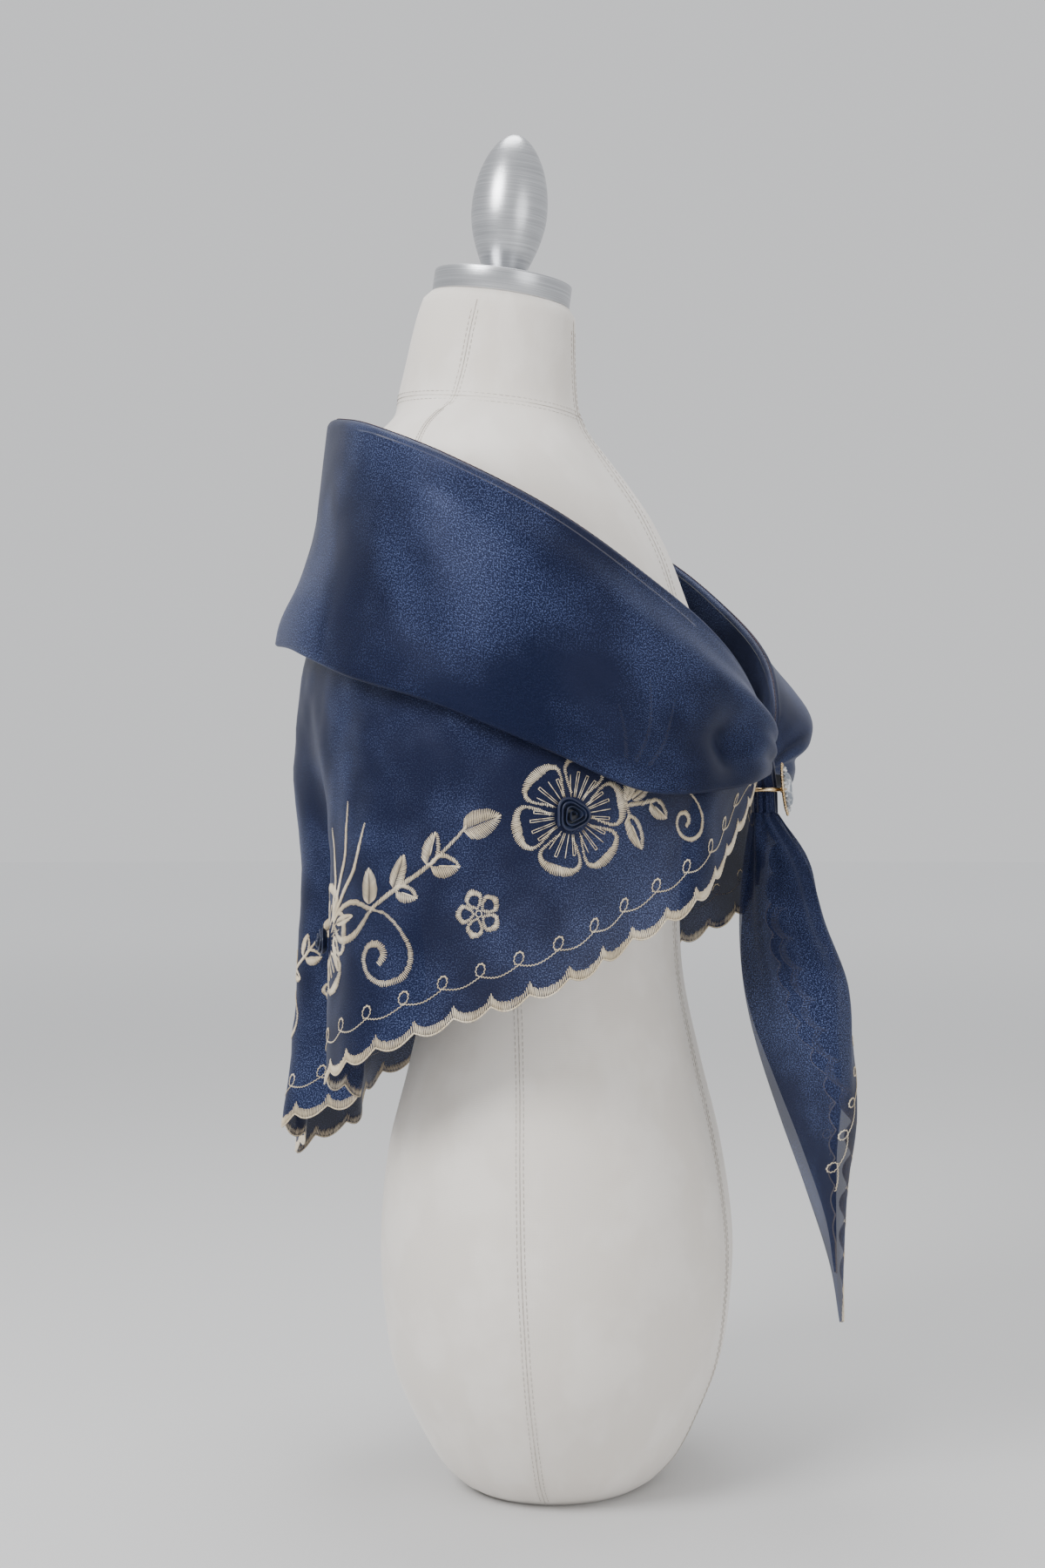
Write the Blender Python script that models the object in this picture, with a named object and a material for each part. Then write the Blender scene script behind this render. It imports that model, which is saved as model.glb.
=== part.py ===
"""Embroidered organza shawl worn on a limbless dress form.

A triangle of stiff, see-through cloth is folded over along its long side.
The fold lies round the shoulders, the turned-down part makes a collar,
and the rest hangs as a panel with a scalloped hem, longest at the back.
The two sharp corners meet in front, pass down through the ring of a
jewelled clip and hang below it as two rolled tails.

Metres, +Z up. The front faces -Y. The origin is the middle of the flat base.
"""

import math
from collections import namedtuple

import bmesh
import bpy
from mathutils import Matrix, Vector
from mathutils.bvhtree import BVHTree

UP = Vector((0.0, 0.0, 1.0))

# Cloth
CLOTH = 0.0012
SEAM_GAP = 0.0003
FORM_GAP = 0.0012

# Scallops along the hem, each side of the centre back, and on each tail
HEM_SCALLOPS = 25
TAIL_SCALLOPS = 16
SCALLOP_DEPTH = 0.0065
STEPS_PER_SCALLOP = 6
HEM_BAND = 0.012

# Roll of the collar's lower edge, and the pleats drawn into the ring
EDGE_ROLL = 0.0035
GATHER_WAVES = 3
PANEL_GATHER = 0.0016
COLLAR_GATHER = 0.0014

# Clip at the front
CLIP_Y = -0.149
RING_Z = 0.494
RING_HALF_WIDTH = 0.0125
RING_HALF_DEPTH = 0.0105
RING_WIRE = 0.0015
PLATE_HEIGHT = 0.036
PLATE_WIDTH = 0.017
PLATE_THICK = 0.0022
STONE_DEPTH = 0.0032
PLATE_TILT = math.radians(6.5)
PLATE_SETBACK = 0.0001
MARQUISE_POINT = 1.35

# Neck cap and finial, on a neck that leans forward
NECK_TOP = Vector((0.0, 0.0455, 0.849))
NECK_LEAN = math.radians(8.0)
CAP_RADIUS = 0.0503
CAP_HEIGHT = 0.0165
CAP_BEVEL = 0.0012
FINIAL_HEIGHT = 0.104
FINIAL_FOOT = 0.0138
FINIAL_RADIUS = 0.0277
FINIAL_WAIST = 0.46
FINIAL_LEAN = math.radians(5.0)
FINIAL_LIFT = 0.0008
FINIAL_STEPS = 12

TORSO_SIDES = 36
TORSO_LEVELS = 24
BASE_LEVELS = (0.0, 0.005, 0.021)
RIM_LEVELS = (0.837, 0.845, 0.849)
BUST_X = 0.074
BUST_Z = 0.548
BUST_DEPTH = 0.027
BUST_SPREAD_X = 0.048
BUST_SPREAD_Z = 0.058


class Table:
    """Rows with named columns, read as a smooth curve along the first column."""

    def __init__(self, columns, rows):
        self.row = namedtuple("row", columns)
        self.rows = [self.row(*row) for row in rows]

    def slope(self, index, column):
        before = self.rows[max(index - 1, 0)]
        after = self.rows[min(index + 1, len(self.rows) - 1)]
        return (after[column] - before[column]) / (after[0] - before[0])

    def at(self, place):
        first, last = self.rows[0][0], self.rows[-1][0]
        place = min(max(place, first), last)
        index = 0
        while index < len(self.rows) - 2 and self.rows[index + 1][0] < place:
            index += 1
        low, high = self.rows[index], self.rows[index + 1]
        span = high[0] - low[0]
        t = (place - low[0]) / span
        values = [place]
        for column in range(1, len(low)):
            start = self.slope(index, column) * span
            end = self.slope(index + 1, column) * span
            values.append(
                low[column] * (1 + 2 * t) * (1 - t) ** 2
                + start * t * (1 - t) ** 2
                + high[column] * t * t * (3 - 2 * t)
                - end * t * t * (1 - t)
            )
        return self.row(*values)


# Cross-sections of the dress form, from the flat base to the top of the neck
TORSO = Table(
    "height half_width front back centre_y squareness",
    [
        (0.000, 0.080, 0.063, 0.063, 0.000, 2.1),
        (0.005, 0.090, 0.071, 0.071, 0.000, 2.1),
        (0.021, 0.110, 0.085, 0.085, 0.000, 2.1),
        (0.051, 0.131, 0.100, 0.101, 0.000, 2.1),
        (0.085, 0.149, 0.113, 0.115, 0.000, 2.1),
        (0.122, 0.160, 0.119, 0.121, 0.000, 2.1),
        (0.174, 0.166, 0.121, 0.124, 0.000, 2.1),
        (0.240, 0.158, 0.112, 0.119, 0.000, 2.1),
        (0.300, 0.138, 0.100, 0.103, 0.002, 2.1),
        (0.360, 0.122, 0.092, 0.088, 0.006, 2.1),
        (0.420, 0.127, 0.095, 0.089, 0.012, 2.1),
        (0.480, 0.136, 0.103, 0.095, 0.018, 2.2),
        (0.540, 0.146, 0.112, 0.102, 0.024, 2.2),
        (0.600, 0.156, 0.118, 0.108, 0.030, 2.3),
        (0.650, 0.168, 0.112, 0.110, 0.035, 2.4),
        (0.690, 0.177, 0.100, 0.104, 0.041, 2.4),
        (0.718, 0.173, 0.087, 0.090, 0.046, 2.3),
        (0.738, 0.146, 0.077, 0.078, 0.050, 2.2),
        (0.753, 0.112, 0.070, 0.069, 0.053, 2.1),
        (0.766, 0.078, 0.067, 0.066, 0.055, 2.0),
        (0.782, 0.065, 0.065, 0.065, 0.055, 2.0),
        (0.815, 0.060, 0.060, 0.060, 0.051, 2.0),
        (0.837, 0.0565, 0.0565, 0.0565, 0.0475, 2.0),
        (0.845, 0.0545, 0.0545, 0.0545, 0.0462, 2.0),
        (0.849, 0.0505, 0.0505, 0.0505, 0.0455, 2.0),
    ],
)

# The wearer's right side from the centre back (0) to the ring (1), mirrored
# for the left. fold is the crest of the fold round the shoulders, edge the
# lower edge of the collar, hem the hem. crest is the fold's radius, turn the
# width turned under at the collar's edge, belly and swell how far the panel
# and the collar bow outward.
WRAP = Table(
    "along fold_x fold_y fold_z edge_x edge_y edge_z hem_x hem_y hem_z crest turn belly swell",
    [
        (0.00, 0.000, 0.155, 0.759, 0.000, 0.196, 0.603, 0.000, 0.192, 0.227, 0.0070, 0.034, 0.022, -0.004),
        (0.12, 0.062, 0.149, 0.757, 0.078, 0.187, 0.598, 0.078, 0.178, 0.258, 0.0070, 0.034, 0.020, -0.005),
        (0.23, 0.114, 0.127, 0.750, 0.144, 0.153, 0.591, 0.142, 0.146, 0.290, 0.0065, 0.032, 0.014, -0.003),
        (0.34, 0.160, 0.090, 0.738, 0.192, 0.099, 0.571, 0.190, 0.094, 0.316, 0.0055, 0.028, 0.007, 0.003),
        (0.45, 0.186, 0.030, 0.713, 0.213, 0.030, 0.551, 0.210, 0.032, 0.343, 0.0048, 0.024, 0.005, 0.009),
        (0.57, 0.179, -0.038, 0.677, 0.206, -0.044, 0.521, 0.204, -0.036, 0.366, 0.0042, 0.020, 0.004, 0.011),
        (0.69, 0.145, -0.091, 0.637, 0.172, -0.102, 0.495, 0.170, -0.092, 0.397, 0.0040, 0.016, 0.004, 0.010),
        (0.82, 0.094, -0.132, 0.596, 0.108, -0.148, 0.497, 0.110, -0.128, 0.433, 0.0036, 0.012, 0.003, 0.010),
        (0.92, 0.046, -0.149, 0.556, 0.050, -0.160, 0.505, 0.054, -0.141, 0.472, 0.0030, 0.008, 0.002, 0.008),
        (1.00, 0.0180, -0.149, 0.520, 0.0185, -0.153, 0.506, 0.0185, -0.1455, 0.500, 0.0016, 0.003, 0.000, 0.000),
    ],
)
PANEL_ROW_CROWDING = 1.35
ROW_REACH = 0.018
PANEL_BOW_DOWN = 0.42
PANEL_BOW_SPREAD = 0.20

# Hanging folds of the panel. place runs from -1 (ring, wearer's right) through
# 0 (centre back) to 1 (ring, left); depth is at the hem, outward if positive.
Fold = namedtuple("Fold", "place spread depth top lean")
PANEL_FOLDS = [
    Fold(-0.790, 0.040, 0.004, 0.50, -0.03),
    Fold(-0.690, 0.040, -0.007, 0.50, -0.02),
    Fold(-0.590, 0.045, 0.006, 0.45, 0.01),
    Fold(-0.470, 0.050, -0.008, 0.50, 0.02),
    Fold(-0.360, 0.055, 0.008, 0.40, 0.02),
    Fold(-0.208, 0.046, -0.046, 0.28, 0.02),
    Fold(-0.130, 0.040, 0.008, 0.35, 0.01),
    Fold(-0.075, 0.030, -0.008, 0.55, 0.00),
    Fold(0.000, 0.040, 0.012, 0.40, 0.00),
    Fold(0.075, 0.032, -0.013, 0.45, 0.00),
    Fold(0.165, 0.040, 0.009, 0.35, -0.01),
    Fold(0.235, 0.038, -0.020, 0.40, -0.01),
    Fold(0.325, 0.050, 0.009, 0.45, -0.02),
    Fold(0.410, 0.045, -0.012, 0.50, -0.02),
    Fold(0.510, 0.050, 0.006, 0.45, 0.02),
    Fold(0.610, 0.045, -0.008, 0.50, 0.02),
    Fold(0.710, 0.045, 0.006, 0.45, 0.03),
]

# Soft ridges of the collar, which run round it and gather at the ring.
# drop is the share of the collar's height at the start and end of the ridge.
Ridge = namedtuple("Ridge", "start end drop_start drop_end spread height")
COLLAR_RIDGES = [
    Ridge(-0.98, -0.40, 0.42, 0.12, 0.13, 0.0065),
    Ridge(-0.98, -0.55, 0.78, 0.55, 0.11, -0.0050),
    Ridge(-0.50, -0.08, 0.70, 0.45, 0.20, -0.0050),
    Ridge(-0.30, 0.25, 0.88, 0.92, 0.14, 0.0060),
    Ridge(0.08, 0.50, 0.35, 0.60, 0.20, -0.0050),
    Ridge(0.40, 0.99, 0.20, 0.50, 0.22, 0.0170),
    Ridge(0.60, 0.98, 0.60, 0.80, 0.11, -0.0045),
]

# One tail, the wearer's right, from the ring (0) down to its point (1).
# edge is the plain long edge of the triangle, roll the front of the rolled
# cone, width the share of the cone's outline that the cloth goes round.
TAIL = Table(
    "down height edge_x edge_y roll_x roll_y width flat",
    [
        (0.00, 0.4780, 0.0080, -0.1410, 0.0045, -0.1570, 0.62, 0.60),
        (0.10, 0.444, 0.0190, -0.1386, 0.0090, -0.1800, 0.74, 0.52),
        (0.22, 0.402, 0.0320, -0.1385, 0.0150, -0.1945, 0.76, 0.55),
        (0.35, 0.358, 0.0440, -0.1448, 0.0220, -0.2150, 0.74, 0.58),
        (0.48, 0.313, 0.0540, -0.1558, 0.0300, -0.2210, 0.68, 0.60),
        (0.61, 0.269, 0.0610, -0.1699, 0.0380, -0.2225, 0.58, 0.60),
        (0.74, 0.224, 0.0650, -0.1864, 0.0480, -0.2155, 0.52, 0.60),
        (0.89, 0.173, 0.0670, -0.2035, 0.0580, -0.2122, 0.50, 0.60),
        (1.00, 0.135, 0.0660, -0.2100, 0.0630, -0.2122, 0.50, 0.60),
    ],
)
TAIL_PLEATS = 5
LEFT_TAIL_SHIFT = Vector((-0.016, 0.019, 0.010))

# Ribbon roses in the middles of the embroidered flowers, as distances along
# the hem from the centre back, and how far above the hem each one sits
Rose = namedtuple("Rose", "name along above_hem")
ROSES = (
    Rose("rose_right_front", -0.445, 0.106),
    Rose("rose_right_back", -0.225, 0.088),
    Rose("rose_back", 0.0, 0.106),
    Rose("rose_left_back", 0.225, 0.088),
    Rose("rose_left_front", 0.445, 0.106),
)
ROSE_RADIUS = 0.0125
ROSE_FOOT = 0.0075
ROSE_HEIGHT = 0.0080
ROSE_GAP = 0.0009


def smooth_step(low, high, value):
    t = min(max((value - low) / (high - low), 0.0), 1.0)
    return t * t * (3 - 2 * t)


def bell(value):
    return math.exp(-value * value)


def material(name, colour, roughness, metallic=0.0, sheen=0.0):
    made = bpy.data.materials.new(name)
    made.use_nodes = True
    shader = made.node_tree.nodes["Principled BSDF"]
    shader.inputs["Base Color"].default_value = (*colour, 1.0)
    shader.inputs["Roughness"].default_value = roughness
    shader.inputs["Metallic"].default_value = metallic
    shader.inputs["Sheen Weight"].default_value = sheen
    return made


def new_object(name, points, faces, finish):
    mesh = bpy.data.meshes.new(name)
    mesh.from_pydata([tuple(p) for p in points], [], faces)
    tidy = bmesh.new()
    tidy.from_mesh(mesh)
    bmesh.ops.recalc_face_normals(tidy, faces=tidy.faces)
    tidy.to_mesh(mesh)
    tidy.free()
    mesh.shade_smooth()
    mesh.materials.append(finish)
    made = bpy.data.objects.new(name, mesh)
    bpy.context.scene.collection.objects.link(made)
    return made


def lofted_solid(name, rings, finish):
    """A closed solid through rings of equal length, capped at both ends."""
    sides = len(rings[0])
    points = [point for ring in rings for point in ring]
    faces = [list(range(sides)), list(range(len(points) - sides, len(points)))]
    for level in range(len(rings) - 1):
        for side in range(sides):
            after = (side + 1) % sides
            low, high = level * sides, (level + 1) * sides
            faces.append((low + side, low + after, high + after, high + side))
    return new_object(name, points, faces, finish)


def walled(sheet):
    """Gives an open sheet the cloth's thickness, half to each side."""
    wall = sheet.modifiers.new("wall", "SOLIDIFY")
    wall.thickness = CLOTH
    wall.offset = 0.0
    wall.use_even_offset = False
    return sheet


# Dress form
def bust_swell(x, z):
    across = bell((abs(x) - BUST_X) / BUST_SPREAD_X)
    return BUST_DEPTH * across * bell((z - BUST_Z) / BUST_SPREAD_Z)


def torso_point(turn, height):
    """turn 0 faces the front, a quarter turn the wearer's right."""
    section = TORSO.at(height)
    power = 2.0 / section.squareness
    ahead, aside = math.cos(turn), math.sin(turn)
    depth = section.front if ahead > 0 else section.back
    x = -section.half_width * math.copysign(abs(aside) ** power, aside)
    y = section.centre_y - depth * math.copysign(abs(ahead) ** power, ahead)
    if ahead > 0:
        y -= bust_swell(x, height) * smooth_step(0.0, 0.35, ahead)
    return Vector((x, y, height))


def torso_share(point):
    """How far out a point lies from the form's middle: 1 is on its surface."""
    section = TORSO.at(point.z)
    y = point.y - section.centre_y
    if y < 0:
        y = min(y + bust_swell(point.x, point.z), 0.0)
    depth = section.front if y < 0 else section.back
    power = section.squareness
    across, along = abs(point.x) / section.half_width, abs(y) / depth
    return (across**power + along**power) ** (1 / power)


def clear_of_form(point, gap, reach=0.0):
    """Moves a point out level until it lies the gap from the form.

    reach is how far above and below it the form is looked at too, because
    the straight cloth between two rows would cut across a round shoulder.
    """
    middle = Vector((0.0, TORSO.at(point.z).centre_y, point.z))
    away = point - middle
    share = min(torso_share(point + UP * lift) for lift in (-reach, 0.0, reach))
    wanted = 1.0 + gap / max(away.length / max(share, 0.1), 0.02)
    return point if share >= wanted else middle + away * (wanted / share)


def build_form(cover, metal):
    low, high = BASE_LEVELS[-1], RIM_LEVELS[0]
    between = [low + (high - low) * k / TORSO_LEVELS for k in range(1, TORSO_LEVELS)]
    heights = [*BASE_LEVELS, *between, *RIM_LEVELS]
    rings = []
    lean = math.tan(NECK_LEAN)
    for height in heights:
        tipped = smooth_step(0.79, RIM_LEVELS[0], height)
        ring = []
        for side in range(TORSO_SIDES):
            point = torso_point(2 * math.pi * side / TORSO_SIDES, height)
            # The neck's top is square to its lean, so it drops to the front.
            point.z += tipped * lean * (point.y - NECK_TOP.y)
            ring.append(point)
        rings.append(ring)
    lofted_solid("form_torso", rings, cover)

    cap_profile = [
        (CAP_RADIUS, 0.0),
        (CAP_RADIUS, CAP_HEIGHT - CAP_BEVEL),
        (CAP_RADIUS - CAP_BEVEL, CAP_HEIGHT),
    ]
    finial_profile = []
    for step in range(FINIAL_STEPS + 1):
        rise = step / FINIAL_STEPS
        if rise < FINIAL_WAIST:
            swell = math.sin(math.pi / 2 * rise / FINIAL_WAIST)
            radius = FINIAL_FOOT + (FINIAL_RADIUS - FINIAL_FOOT) * swell
        else:
            over = (rise - FINIAL_WAIST) / (1 - FINIAL_WAIST)
            radius = FINIAL_RADIUS * max(1 - over * over, 0.02) ** 0.58
        finial_profile.append((radius, FINIAL_HEIGHT * rise))
    finial_lift = CAP_HEIGHT + 2 * SEAM_GAP + FINIAL_LIFT
    Turned = namedtuple("Turned", "name profile sides lift tilt")
    turned = (
        Turned("form_neck_cap", cap_profile, 40, SEAM_GAP, NECK_LEAN),
        Turned("form_finial", finial_profile, 20, finial_lift, FINIAL_LEAN),
    )
    for piece in turned:
        rise_along = Matrix.Rotation(NECK_LEAN, 4, "X") @ Vector((0.0, 0.0, piece.lift))
        foot = NECK_TOP + rise_along
        leaning = Matrix.Rotation(piece.tilt, 4, "X")
        rings = []
        for radius, rise in piece.profile:
            ring = []
            for side in range(piece.sides):
                turn = 2 * math.pi * side / piece.sides
                spot = Vector((radius * math.cos(turn), radius * math.sin(turn), rise))
                ring.append(foot + leaning @ spot)
            rings.append(ring)
        lofted_solid(piece.name, rings, metal)


# Shawl round the shoulders
Guide = namedtuple("Guide", "fold edge hem out crest turn belly swell place")


def wrap_line(place, name):
    side = -1.0 if place <= 0 else 1.0
    row = WRAP.at(abs(place))
    x, y, z = (getattr(row, f"{name}_{axis}") for axis in "xyz")
    return Vector((side * x, y, z))


def outward(place):
    """Level direction square to the wrap, pointing away from the form."""
    ahead = wrap_line(min(place + 0.01, 1.0), "edge")
    behind = wrap_line(max(place - 0.01, -1.0), "edge")
    along = ahead - behind
    out = Vector((along.y, -along.x, 0.0)).normalized()
    middle = Vector((0.0, 0.02, 0.0))
    away = wrap_line(place, "edge") - middle
    return out if out.dot(away) > 0 else -out


def guide(place):
    row = WRAP.at(abs(place))
    out = outward(place)
    fold = wrap_line(place, "fold")
    # The fold rests on the shoulders where the form reaches out to it.
    inner = fold - out * row.crest - UP * row.crest
    rested = clear_of_form(inner, CLOTH / 2 + FORM_GAP)
    fold = fold + (rested - inner)
    return Guide(
        fold, wrap_line(place, "edge"), wrap_line(place, "hem"),
        out, row.crest, row.turn, row.belly, row.swell, place,
    )


def hanging_folds(place, down):
    total = 0.0
    for fold in PANEL_FOLDS:
        middle = fold.place + fold.lean * (1 - down)
        total += fold.depth * bell((place - middle) / fold.spread) * smooth_step(fold.top, 1.0, down)
    near_ring = smooth_step(0.80, 0.97, abs(place))
    return total * (1 - near_ring)


def gathers(place, down, height):
    """Small pleats where the cloth is drawn together into the ring."""
    drawn = smooth_step(0.72, 0.96, abs(place)) * math.sin(math.pi * down)
    return height * drawn * math.cos(2 * math.pi * GATHER_WAVES * down)


def panel_point(spot, down):
    """down runs from 0 under the fold to 1 at the hem's notches."""
    top = spot.fold - spot.out * spot.crest - UP * (spot.crest + CLOTH / 2 + SEAM_GAP)
    bent = spot.belly * bell((down - PANEL_BOW_DOWN) / PANEL_BOW_SPREAD)
    bent += hanging_folds(spot.place, down) + gathers(spot.place, down, PANEL_GATHER)
    point = top.lerp(spot.hem, down) + spot.out * bent
    return clear_of_form(point, CLOTH / 2 + FORM_GAP, ROW_REACH)


def scallop(phase):
    part = phase % 1.0
    return SCALLOP_DEPTH * (1 - (2 * part - 1) ** 2)


def hem_places(count):
    """count + 1 places from ring to ring, evenly spaced along the hem."""
    samples = 400
    places = [-1 + 2 * i / samples for i in range(samples + 1)]
    line = [panel_point(guide(place), 1.0) for place in places]
    lengths = [0.0]
    for before, after in zip(line, line[1:]):
        lengths.append(lengths[-1] + (after - before).length)
    found, index = [], 0
    for step in range(count + 1):
        wanted = lengths[-1] * step / count
        while index < samples - 1 and lengths[index + 1] < wanted:
            index += 1
        share = (wanted - lengths[index]) / (lengths[index + 1] - lengths[index])
        found.append(places[index] + share * (places[index + 1] - places[index]))
    return found, lengths[-1]


def fanned_sheet(name, columns, rows, fine, inner_point, edge_point, finish):
    """A grid of columns by rows, whose last edge has fine steps per column."""
    points = [inner_point(i, j) for j in range(rows) for i in range(columns + 1)]
    faces = []
    for j in range(rows - 1):
        for i in range(columns):
            low = j * (columns + 1) + i
            faces.append((low, low + 1, low + columns + 2, low + columns + 1))
    first_edge, last_row = len(points), (rows - 1) * (columns + 1)
    points += [edge_point(i) for i in range(columns * fine + 1)]
    half = fine // 2
    for i in range(columns):
        near, far = last_row + i, last_row + i + 1
        edge = first_edge + i * fine
        faces += [(near, edge + k, edge + k + 1) for k in range(half)]
        faces.append((near, edge + half, far))
        faces += [(far, edge + k, edge + k + 1) for k in range(half, fine)]
    return walled(new_object(name, points, faces, finish))


def build_panel(cloth, places):
    columns = 4 * HEM_SCALLOPS
    rows = 9
    fine = STEPS_PER_SCALLOP // 2
    spots = [guide(place) for place in places[::fine]]

    def inner(i, j):
        drop = (spots[i].fold - spots[i].hem).length
        share = min(HEM_BAND / drop, 0.15)
        down = (j / (rows - 1)) ** PANEL_ROW_CROWDING
        return panel_point(spots[i], down * (1 - share))

    def edge(i):
        spot = guide(places[i])
        drop = (spot.fold - spot.hem).length
        fade = 1 - smooth_step(0.97, 1.0, abs(spot.place))
        return panel_point(spot, 1 + fade * scallop(i / STEPS_PER_SCALLOP) / drop)

    return fanned_sheet("shawl_panel", columns, rows, fine, inner, edge, cloth)


def collar_relief(place, drop):
    total = 0.0
    for ridge in COLLAR_RIDGES:
        share = (place - ridge.start) / (ridge.end - ridge.start)
        if 0 < share < 1:
            middle = ridge.drop_start + share * (ridge.drop_end - ridge.drop_start)
            fade = math.sin(math.pi * share) ** 0.7
            total += ridge.height * bell((drop - middle) / ridge.spread) * fade
    return total * (1 - smooth_step(0.90, 1.0, abs(place))) + gathers(place, drop, COLLAR_GATHER)


def collar_section(spot, drops, turns):
    """Over the fold, down the outside, round the lower edge and back up."""
    centre = spot.fold - UP * spot.crest
    points = []
    for step in range(5):
        turn = math.pi * (1 - step / 4)
        points.append(centre + (spot.out * math.cos(turn) + UP * math.sin(turn)) * spot.crest)
    start = points[-1]
    for step in range(1, drops + 1):
        drop = step / drops
        swell = spot.swell * math.sin(math.pi * drop)
        relief = collar_relief(spot.place, drop) * smooth_step(0.0, 0.15, drop)
        points.append(start.lerp(spot.edge, drop) + spot.out * (swell + relief))
    bottom = points[-1]
    roll = min(EDGE_ROLL, spot.crest)
    inside = bottom - spot.out * 1.6 * roll
    points.append(bottom - spot.out * 0.8 * roll - UP * 0.6 * roll)
    upward = (start - bottom).normalized()
    for step in range(turns):
        points.append(inside + upward * spot.turn * step / (turns - 1))
    return points


def build_collar(cloth):
    columns, drops, turns = 72, 7, 2
    places = [-1 + 2 * i / columns for i in range(columns + 1)]
    sections = [collar_section(guide(place), drops, turns) for place in places]
    count = len(sections[0])
    points = [point for section in sections for point in section]
    faces = []
    for i in range(columns):
        for j in range(count - 1):
            low = i * count + j
            faces.append((low, low + 1, low + count + 1, low + count))
    return walled(new_object("shawl_collar", points, faces, cloth))


# Tails below the clip
def tail_point(side, down, round_share):
    """round_share runs from 0 at the plain edge to 1 at the scalloped edge."""
    row = TAIL.at(down)
    plain = Vector((row.edge_x, row.edge_y, 0.0))
    roll = Vector((row.roll_x, row.roll_y, 0.0))
    middle, long_half = (plain + roll) / 2, (plain - roll) / 2
    across = Vector((-long_half.y, long_half.x, 0.0))
    if across.x < 0:
        across = -across
    turn = 2 * math.pi * row.width * round_share
    pleat = math.cos(2 * math.pi * TAIL_PLEATS * round_share)
    ripple = 0.10 * pleat * (1 - smooth_step(0.0, 0.45, down))
    ripple += 0.07 * math.sin(3 * turn + 5 * down) * smooth_step(0.2, 0.6, down)
    shrink = 1 - 0.16 * round_share + ripple
    point = middle + (long_half * math.cos(turn) + across * row.flat * math.sin(turn)) * shrink
    point.z = row.height
    if side > 0:
        point += LEFT_TAIL_SHIFT * smooth_step(0.0, 0.5, down)
    else:
        point.x = -point.x
    return point


def tail_places(side, count):
    """Shares of the way down, evenly spaced along the scalloped edge."""
    samples = 200
    line = [tail_point(side, i / samples, 1.0) for i in range(samples + 1)]
    lengths = [0.0]
    for before, after in zip(line, line[1:]):
        lengths.append(lengths[-1] + (after - before).length)
    found, index = [], 0
    for step in range(count + 1):
        wanted = lengths[-1] * step / count
        while index < samples - 1 and lengths[index + 1] < wanted:
            index += 1
        share = (wanted - lengths[index]) / (lengths[index + 1] - lengths[index])
        found.append((index + share) / samples)
    return found


def tail_breadth(side, down):
    steps = [tail_point(side, down, k / 12) for k in range(13)]
    return sum((b - a).length for a, b in zip(steps, steps[1:]))


def build_tail(name, side, cloth):
    columns, rows = 2 * TAIL_SCALLOPS, 11
    fine = STEPS_PER_SCALLOP // 2
    places = tail_places(side, columns * fine)

    def inner(i, j):
        down = places[i * fine]
        band = min(HEM_BAND / tail_breadth(side, down), 0.25)
        return tail_point(side, down, j / (rows - 1) * (1 - band))

    def edge(i):
        down = places[i]
        grown = scallop(i / STEPS_PER_SCALLOP) / max(tail_breadth(side, down), 0.03)
        return tail_point(side, down, 1 + grown * (1 - smooth_step(0.90, 1.0, down)))

    return fanned_sheet(name, columns, rows, fine, inner, edge, cloth)


def build_gather(cloth):
    """The bunched cloth that passes down through the ring."""
    levels = Table(
        "height half_width half_depth",
        [
            (0.4788, 0.0100, 0.0082),
            (0.4860, 0.0098, 0.0080),
            (RING_Z, 0.0098, 0.0078),
            (0.5010, 0.0125, 0.0070),
            (0.5110, 0.0165, 0.0060),
            (0.5200, 0.0160, 0.0040),
        ],
    )
    sides, rings = 24, []
    bottom, top = levels.rows[0].height, levels.rows[-1].height
    for level in range(8):
        height = bottom + (top - bottom) * level / 7
        row = levels.at(height)
        ring = []
        for step in range(sides):
            turn = 2 * math.pi * step / sides
            pleat = 1 + 0.07 * math.cos(6 * turn)
            x = row.half_width * math.cos(turn) * pleat
            y = CLIP_Y + row.half_depth * math.sin(turn) * pleat
            ring.append(Vector((x, y, height)))
        rings.append(ring)
    lofted_solid("shawl_gather", rings, cloth)


# Jewelled clip
def marquise(share, height, width):
    """A point on a pointed oval: share 0 and 0.5 are its top and bottom tips."""
    turn = 2 * math.pi * share
    y = height / 2 * math.cos(turn)
    x = width / 2 * math.copysign(abs(math.sin(turn)) ** MARQUISE_POINT, math.sin(turn))
    return x, y


def clip_place():
    front = Vector((0.0, CLIP_Y - RING_HALF_DEPTH - RING_WIRE - SEAM_GAP, RING_Z))
    # Local +Z points out of the clip's face, and its lower tip leans forward.
    return Matrix.Translation(front) @ Matrix.Rotation(math.pi / 2 - PLATE_TILT, 4, "X")


def marquise_solid(name, layers, sides, ripple, finish, place):
    rings = []
    for height, width, rise in layers:
        ring = []
        for step in range(sides):
            x, y = marquise(step / sides, height, width)
            swell = 1 + ripple * (step % 2)
            ring.append(place @ Vector((x * swell, y * swell, rise)))
        rings.append(ring)
    return lofted_solid(name, rings, finish)


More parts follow.
